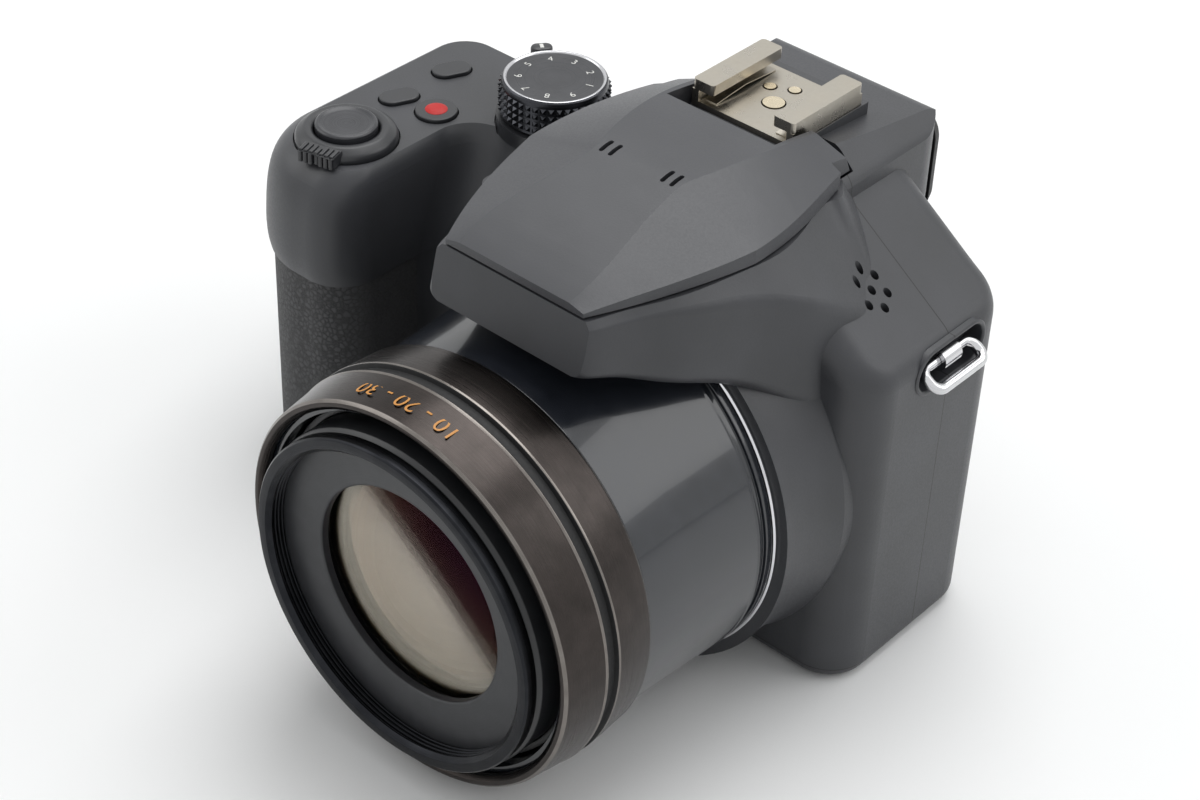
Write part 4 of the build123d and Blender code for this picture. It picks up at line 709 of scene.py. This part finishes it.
def barrel_pieces():
    """The gloss fixed barrel with its groove, and the bright ring at its foot."""
    ring_stop, sleeve, rear_bore, throat = 34.2, 27.9, 26.3, 10.8
    barrel = [
        (BARREL_BORE, -78.1), (RING_SEAT, -78.1), (RING_SEAT, -60.6), (34.6, -60.6), (34.75, -60.3),
        (35.2, -50.0), (36.0, -35.0), (36.1, -34.6), (36.1, -34.5), (35.5, -34.45), (35.5, -32.95),
        (36.1, -32.9), (36.15, -31.5), (ring_stop, -31.4), (ring_stop, -14.3), (sleeve, -14.3),
        (sleeve, 3.9), (throat, 3.9), (throat, 0.8), (rear_bore, 0.8), (rear_bore, -17.5),
        (BARREL_BORE, -17.5),
    ]
    turned_for("lens_barrel", barrel, [barrel_gloss], "camera_body", ease=0.12, count=FINE)
    base = [(34.3, -31.35), (36.3, -31.35), (36.55, -31.1), (36.55, -30.7), (34.3, -30.65)]
    turned_for("barrel_base_ring", base, [chrome], "camera_body", ease=0.1, count=FINE)


def tube_pieces():
    """The two sliding tubes."""
    rear_y, cell_y, cell_bore = -22.0, -27.0, 14.1
    middle = [
        (MIDDLE_TUBE_BORE, MIDDLE_TUBE_Y), (MIDDLE_TUBE, MIDDLE_TUBE_Y), (MIDDLE_TUBE, rear_y),
        (cell_bore, rear_y), (cell_bore, cell_y), (MIDDLE_TUBE_BORE, cell_y),
    ]
    turned_for("middle_tube", middle, [tube_black], "middle_tube", ease=0.25, count=192)
    front_rear_y = -30.0
    front = [
        (FRONT_TUBE_BORE, FRONT_TUBE_Y), (29.8, FRONT_TUBE_Y), (FRONT_TUBE, -80.4),
        (FRONT_TUBE, front_rear_y), (FRONT_TUBE_BORE, front_rear_y),
    ]
    turned_for("front_tube", front, [tube_black], "front_tube", ease=0.2, count=192)


def filter_ring_piece():
    """The filter ring, with three ridges of its thread, and the face plate inside it."""
    pitch, ridge = 0.75, 0.45
    thread = [(FILTER_RADIUS, FILTER_FOOT_Y)]
    for turn in range(3):
        foot = FILTER_FOOT_Y - 0.25 - pitch * turn
        crest = FILTER_RADIUS + ridge
        thread += [(FILTER_RADIUS, foot), (crest, foot - pitch * 0.3)]
        thread += [(crest, foot - pitch * 0.45), (FILTER_RADIUS, foot - pitch * 0.75)]
    rim = [
        (FILTER_RADIUS, FILTER_FRONT_Y + 0.8), (28.3, FILTER_FRONT_Y), (29.8, FILTER_FRONT_Y),
        (FILTER_OUTER, FILTER_FRONT_Y + 0.3), (FILTER_OUTER, -81.25), (FILTER_SHANK, -81.25),
        (FILTER_SHANK, FILTER_FOOT_Y),
    ]
    turned_for("filter_ring", thread + rim, [filter_black], "front_tube", ease=0.05, count=192)
    bore = 19.6
    plate = [(bore, -78.9), (19.9, -79.1), (CELL_OUTER, -80.05), (CELL_OUTER, -78.6), (bore, -77.5)]
    turned_for("name_ring", plate, [face_grey], "front_tube", ease=0.12, count=192)


def front_glass_pieces():
    """The front glass, the second glass behind it, and their cell."""
    front_face = dome(GLASS_RADIUS, -79.85, 4.1, False)
    middle_face = dome(GLASS_RADIUS, -76.6, 1.5, True)
    profile = middle_face + front_face
    turned("front_glass", profile, [lens_glass], "front_tube", None, 0, 160, ["front_lens"], GLASS_ANGLE)
    second_radius = 20.9
    joint_face = dome(second_radius, -76.3, 1.5, False)
    rear_face = dome(second_radius, -75.6, 1.7, True)
    profile = rear_face + joint_face
    turned("second_glass", profile, [dense_glass], "front_tube", None, 0, 128, (), GLASS_ANGLE)
    seat = GLASS_RADIUS + 0.1
    cell = [(seat, -75.7), (CELL_OUTER, -75.7), (CELL_OUTER, CELL_REAR_Y), (CELL_LIP, CELL_REAR_Y)]
    for step in range(4):
        y = CELL_REAR_Y - 0.2 - step * 0.7
        lip = CELL_LIP + step * 0.12
        cell += [(lip, y), (lip, y - 0.35)]
    cell += [(20.2, -73.6), (seat, -73.6)]
    turned_for("front_lens_cell", cell, [black_moulding_and_groove_shade], "front_tube", ease=0.05, count=128)


def inner_glass_pieces():
    """The third glass in its stepped mount, and the zoom glass."""
    outer, rear_y, bore = 19.8, -61.5, THIRD_GLASS_RADIUS + 0.1
    tread = 0.8
    mount = [(outer, MOUNT_FRONT_Y)]
    for step in range(5):
        y = MOUNT_FRONT_Y + step * tread
        mount += [(19.2 - step, y), (19.2 - step, y + tread)]
    mount += [(bore, -66.4), (bore, rear_y), (outer, rear_y)]
    turned("third_glass_mount", mount, [black_moulding_and_groove_shade], "front_tube", ease=0.05, count=128)
    convex_face = dome(THIRD_GLASS_RADIUS, -68.2, 3.4, False)
    back_face = dome(THIRD_GLASS_RADIUS, -61.6, -0.9, True)
    profile = back_face + convex_face
    turned("third_glass", profile, [dense_glass], "front_tube", None, 0, 128, (), GLASS_ANGLE)
    radius = ZOOM_GLASS_RADIUS
    inner = [(0.0, -23.7), (radius, -23.7), (radius, -25.5)]
    for step in range(1, 9):
        share = 1 - step / 8
        inner.append((radius * share, -27.2 + 1.7 * share**2))
    turned("zoom_glass", inner, [inner_glass], "middle_tube", None, 0, 96, ["zoom_lens"], GLASS_ANGLE)


# Controls on the grip


def mode_dial_pieces():
    """The dial with its knurl, its spun top and its plain figures."""
    top_z, rim_z, foot_z, axle_z = 75.2, 75.5, 68.25, 63.1
    rim, side, axle = 8.75, 9.75, 3.0
    profile = [
        (0.0, top_z, 1), (rim, top_z, 2), (rim + 0.2, rim_z, 2), (9.3, rim_z), (9.6, top_z), (side, 74.6),
        (side, 69.0), (9.9, 68.5), (9.5, foot_z), (axle, foot_z), (axle, axle_z), (0.0, axle_z),
    ]
    finishes = [dial_side, dial_top_black, dial_bright]
    turned_for("mode_dial", profile, finishes, "mode_dial", centre=DIAL_AT, ease=0.1, count=144)
    root, tip, wide, high = -0.25, 0.62, 0.72, 0.7
    foot = [(root, -wide, -high), (root, wide, -high), (root, wide, high), (root, -wide, high)]
    stud = (foot + [(tip, 0, 0)], [(0, 1, 4), (1, 2, 4), (2, 3, 4), (3, 0, 4), (0, 3, 2, 1)])
    rows = [69.45 + 2 * high * row for row in range(4)]
    copies_around("mode_dial_knurl", stud, dial_side, "mode_dial", DIAL_AT, rows, 42, side, 0.0)
    figures, reach = 9, 6.6
    for place in range(figures):
        word = str(place + 1)
        spot = on_dial(reach, top_z + 0.02, 20 + 360 / figures * place)
        digits("mode_dial_figure_" + word, word, 2.1, mark_white, "mode_dial", spot, 0.04)


def lever_tab_pieces():
    """The raised finger rib on the tab of the power lever, and its white mark."""
    reach, round_end, straight, steps = 13.3, 1.35, 0.7, 24
    foot_z, top_z = 71.3, 74.2
    out, side = facing(143.0)
    middle = Vector(DIAL_AT) + out * reach
    rib = []
    for step in range(steps):
        b = 2 * math.pi * step / steps
        across = round_end * math.sin(b) + math.copysign(straight, math.sin(b))
        rib.append(middle + out * round_end * math.cos(b) + side * across)
    slab("power_lever_rib", rib, foot_z, top_z, button_plastic, "power_lever", 0.35)
    mark = [(-0.7, -0.35), (0.7, -0.35), (0.7, 0.35), (-0.7, 0.35)]
    outline = [middle + out * u + side * v for u, v in mark]
    slab("power_lever_mark", outline, top_z - 0.02, top_z + 0.04, mark_white, "power_lever", 0.02)


def shutter_pieces():
    """The shutter button and the zoom lever with its ribbed tab."""
    cap_radius, cap_foot_z, stem, stem_foot_z = 5.7, 65.9, 1.4, 61.5
    cap = [
        (0.0, 68.85), (4.4, 69.05), (5.2, 69.35), (cap_radius, 69.0), (cap_radius, cap_foot_z),
        (stem, cap_foot_z), (stem, stem_foot_z), (0.0, stem_foot_z),
    ]
    spun = [shutter_spun]
    turned_for("shutter_button", cap, spun, "shutter_button", centre=SHUTTER_AT, ease=0.2, count=112)
    bore, rim, ring_foot_z = 5.97, 9.4, 65.1
    ring = [
        (bore, ring_foot_z), (bore, 67.9), (6.5, 68.35), (7.6, 68.4), (9.0, 67.4), (rim, 66.6),
        (rim, ring_foot_z),
    ]
    turned("zoom_lever_ring", ring, [button_plastic], "zoom_lever", SHUTTER_AT, 0.3, 112, ["zoom_lever"])
    out, side = facing(-73.0)
    ribs, middle_rib, half, root = 7, 3, 3.6, 7.9
    tip, notch_tip = 11.5, 11.15
    pitch = 2 * half / ribs
    wave = ((0.0, 0.4), (0.16, 0.08), (0.35, 0.0), (0.65, 0.0), (0.84, 0.08), (1.0, 0.4))
    outline = [(root, -half), (root, half)]
    for rib in range(ribs):
        depth = notch_tip if rib == middle_rib else tip
        outline += [(depth - dip, half - pitch * (rib + share)) for share, dip in wave]
    tab = [Vector(SHUTTER_AT) + out * u + side * v for u, v in outline]
    slab("zoom_lever_tab", tab, 66.35, 68.5, button_plastic, "zoom_lever", 0.18, angle=24.0)
    for rib in range(ribs):
        foot = 9.3 if rib == middle_rib else 8.6
        low, high = (half - pitch * (rib + 0.5 + away) for away in (0.38, -0.38))
        strip = [(foot, low), (notch_tip, low), (notch_tip, high), (foot, high)]
        points = [Vector(SHUTTER_AT) + out * u + side * v for u, v in strip]
        slab("zoom_lever_rib_" + str(rib + 1), points, 68.2, 68.85, button_plastic, "zoom_lever", 0.2)


def record_pieces():
    """The red centre of the record button."""
    radius, foot_z = 2.1, 66.5
    profile = [(0.0, 67.1), (1.4, 67.0), (radius, 66.75), (radius, foot_z), (0.0, foot_z)]
    turned("record_button_centre", profile, [record_red], "record_button", RECORD_AT, 0.12, 64)


# Strap loops, shoe springs and tripod thread

WIRE_RADIUS = 0.99
RIM_SUNK = 0.1  # the left rim sits this much deeper in its wall
LOOP_IN = 3.2 - 1.0 - 0.9 - 0.08  # how far the loop's bar sits inside the wall


def strap_loop(name, bar_x, bar_z, side, node):
    """A bright wire loop hanging from the eye, tilted down by 30 degrees."""
    drop, half, corner = 4.4, 6.8, 1.85
    near, far, low, high = corner, drop - corner, -half + corner, half - corner
    tilt = math.radians(30.0)
    steps = 8
    flat = []
    for cx, cy, start in ((near, low, 180), (far, low, 270), (far, high, 0), (near, high, 90)):
        for step in range(steps + 1):
            a = math.radians(start + 90 * step / steps)
            flat.append((cx + corner * math.cos(a), cy + corner * math.sin(a)))
    dense = []
    for i, (u, v) in enumerate(flat):
        u2, v2 = flat[(i + 1) % len(flat)]
        gap = math.hypot(u2 - u, v2 - v)
        parts = max(1, int(gap / 0.8))
        dense += [(u + (u2 - u) * k / parts, v + (v2 - v) * k / parts) for k in range(parts)]
    route = [(bar_x + side * u * math.cos(tilt), SEAM_Y + v, bar_z - u * math.sin(tilt)) for u, v in dense]
    wire(name, route, WIRE_RADIUS, wire_steel, node, stands_for=[node])


def pocket_rim(name, wall_x, middle_z, side):
    """The raised lip round the pocket of a strap loop."""
    straight, radius = 5.3, 3.6
    levels = [(0.9, -0.9), (0.9, 0.1), (0.62, 0.32), (0.3, 0.32), (0.02, 0.05), (0.02, -0.9)]
    steps = 16
    verts, faces = [], []
    for end in (1, -1):
        for step in range(steps + 1):
            a = math.radians(-90 + 180 * step / steps)
            for out, proud in levels:
                y = end * (straight + (radius + out) * math.cos(a))
                z = end * (radius + out) * math.sin(a)
                verts.append((wall_x + side * proud, SEAM_Y + y, middle_z + z))
    count, size = 2 * (steps + 1), len(levels)
    for k in range(count):
        nxt = (k + 1) % count
        for j in range(size):
            j2 = (j + 1) % size
            faces.append((k * size + j, k * size + j2, nxt * size + j2, nxt * size + j))
    piece(name, verts, faces, casing_plastic, "camera_body", angle=50.0)


def shoe_springs():
    """Two arched leaf springs, one beside each rail of the hot shoe."""
    inner_x, outer_x, low_z, thickness = 6.3, 9.0, 90.32, 0.18
    stations = [(0.6, 0.0), (4.0, 0.35), (8.4, 0.7), (12.8, 0.35), (16.4, 0.0)]
    for side, word in ((-1, "left"), (1, "right")):
        verts, faces = [], []
        for y, rise in stations:
            for x in (side * inner_x, side * outer_x):
                verts += [(x, y, low_z + rise), (x, y, low_z + thickness + rise)]
        for i in range(len(stations) - 1):
            a, b = i * 4, (i + 1) * 4
            faces += [(a, a + 2, b + 2, b), (a + 1, b + 1, b + 3, a + 3)]
            faces += [(a, b, b + 1, a + 1), (a + 2, a + 3, b + 3, b + 2)]
        last = 4 * (len(stations) - 1)
        faces += [(0, 1, 3, 2), (last, last + 2, last + 3, last + 1)]
        piece("shoe_spring_" + word, verts, faces, nickel, "camera_body", angle=20.0)


def tripod_socket_piece():
    """The brass tripod socket with its thread."""
    outer, bore, crest, mouth_z, length, depth = 5.1, 3.1, 2.7, 0.02, 8.0, 6.5
    profile = [(outer, mouth_z), (outer, length), (0.0, length), (0.0, depth), (bore, depth)]
    pitch = 1.2
    for turn in range(5):
        top = 6.2 - pitch * turn
        profile += [(bore, top), (crest, top - pitch * 0.4)]
        profile += [(crest, top - pitch * 0.55), (bore, top - pitch * 0.95)]
    profile += [(bore, 0.3), (3.4, mouth_z)]
    turned_for("tripod_socket", profile, [brass], "camera_body", centre=(0.0, 0.0), ease=0.04, count=96)


lens_ring_piece()
barrel_pieces()
tube_pieces()
filter_ring_piece()
front_glass_pieces()
inner_glass_pieces()
mode_dial_pieces()
lever_tab_pieces()
shutter_pieces()
record_pieces()
strap_loop("strap_loop_right_wire", RIGHT_WALL_X - LOOP_IN, RIGHT_LOOP_Z, 1, "strap_loop_right")
strap_loop("strap_loop_left_wire", LEFT_WALL_X + LOOP_IN, LEFT_LOOP_Z, -1, "strap_loop_left")
pocket_rim("strap_pocket_rim_right", RIGHT_WALL_X, RIGHT_LOOP_Z, 1)
pocket_rim("strap_pocket_rim_left", LEFT_WALL_X + RIM_SUNK, LEFT_LOOP_Z, -1)
shoe_springs()
tripod_socket_piece()
edge_widths = {  # rounding of the edges, in millimetres
    "hot_shoe": 0.22,
    "power_lever": 0.25,
    "function_button_front": 0.25,
    "function_button_rear": 0.25,
    "record_button": 0.25,
    "playback_button": 0.2,
    "focus_button": 0.2,
    "display_button": 0.2,
    "delete_button": 0.2,
    "af_lock_button": 0.2,
    "cursor_pad": 0.25,
    "set_button": 0.25,
    "eyecup": 0.4,
    "battery_door": 0.15,
    "terminal_door": 0.15,
    "thumb_rest": 0.3,
    "screen_glass": 0.12,
}
for node, width in edge_widths.items():
    softened(node, node + "_soft", width)
softened("flash_lid", "flash_lid_soft", 0.4, 9.0)


# Floor, light and camera


def pale_floor():
    """A pale floor with a hardly visible cloudiness, which takes soft shadows."""
    f = Finish("pale floor")
    f.surface(Base_Color=f.mix(f.noise(0.008, 2.0), colour("#f3f4f4"), colour("#f8f8f8")), Roughness=0.6)
    half = 3.0
    corners = [(-half, -half, 0), (half, -half, 0), (half, half, 0), (-half, half, 0)]
    mesh = bpy.data.meshes.new("floor")
    mesh.from_pydata(corners, [], [(0, 1, 2, 3)])
    mesh.materials.append(f.material)
    floor = bpy.data.objects.new("floor", mesh)
    bpy.context.scene.collection.objects.link(floor)


def studio_lamps():
    """Three soft square lamps, each with its place, aim and side in metres and its power in watts."""
    for name, place, aim, size, power in (
        ("top light", (-0.15, 0.35, 1.1), (0, -0.02, 0.03), 0.9, 7.4),
        ("left light", (-0.9, -0.5, 0.7), (0, -0.02, 0.04), 0.7, 2.0),
        ("right light", (0.75, 0.6, 0.75), (0, -0.02, 0.04), 0.8, 3.0),
    ):
        lamp = bpy.data.lights.new(name, "AREA")
        lamp.shape = "SQUARE"
        lamp.size = size
        lamp.energy = power
        obj = bpy.data.objects.new(name, lamp)
        obj.location = place
        obj.rotation_euler = (Vector(aim) - Vector(place)).to_track_quat("-Z", "Y").to_euler()
        bpy.context.scene.collection.objects.link(obj)


def white_surround():
    """Soft light, stronger from above; what the camera, mirrors and glass see of the surround is white."""
    low_light, high_light, high_at, white = 0.25, 0.68, 0.9, 1.0
    world = bpy.data.worlds.new("surround")
    world.use_nodes = True
    bpy.context.scene.world = world
    make, link = world.node_tree.nodes.new, world.node_tree.links.new
    ground = world.node_tree.nodes["Background"]
    parts = make("ShaderNodeSeparateXYZ")
    link(make("ShaderNodeTexCoord").outputs["Generated"], parts.inputs[0])
    height = make("ShaderNodeMapRange")
    link(parts.outputs[2], height.inputs[0])
    for index, value in enumerate((0.0, high_at, low_light, high_light), 1):
        height.inputs[index].default_value = value
    path = make("ShaderNodeLightPath")
    mirrored = make("ShaderNodeMath")
    mirrored.operation = "ADD"
    link(path.outputs["Is Glossy Ray"], mirrored.inputs[0])
    link(path.outputs["Is Transmission Ray"], mirrored.inputs[1])
    seen = make("ShaderNodeMath")
    seen.operation = "ADD"
    seen.use_clamp = True
    link(path.outputs["Is Camera Ray"], seen.inputs[0])
    link(mirrored.outputs[0], seen.inputs[1])
    strength = make("ShaderNodeMix")
    link(seen.outputs[0], strength.inputs[0])
    link(height.outputs[0], strength.inputs[2])
    strength.inputs[3].default_value = white
    ground.inputs[0].default_value = colour("#fafbfb")
    link(strength.outputs[0], ground.inputs[1])


def camera():
    """The camera, at the photograph's angle."""
    turn, rise, roll = (math.radians(v) for v in (40.1614, 37.498, 2.4526))
    back = Vector((math.sin(turn) * math.cos(rise), -math.cos(turn) * math.cos(rise), math.sin(rise)))
    flat = Vector((math.cos(turn), math.sin(turn), 0))
    up = back.cross(flat)
    right = flat * math.cos(roll) + up * math.sin(roll)
    top = up * math.cos(roll) - flat * math.sin(roll)
    data = bpy.data.cameras.new("view")
    data.sensor_width = 36.0
    data.lens = 76.29
    data.clip_start = 0.01
    obj = bpy.data.objects.new("view", data)
    spot = Vector((216.34, -289.97, 308.10)) * MM
    obj.matrix_world = Matrix.Translation(spot) @ Matrix((right, top, back)).transposed().to_4x4()
    bpy.context.scene.collection.objects.link(obj)
    bpy.context.scene.camera = obj


pale_floor()
studio_lamps()
white_surround()
camera()
bpy.context.scene.view_settings.view_transform = "Standard"
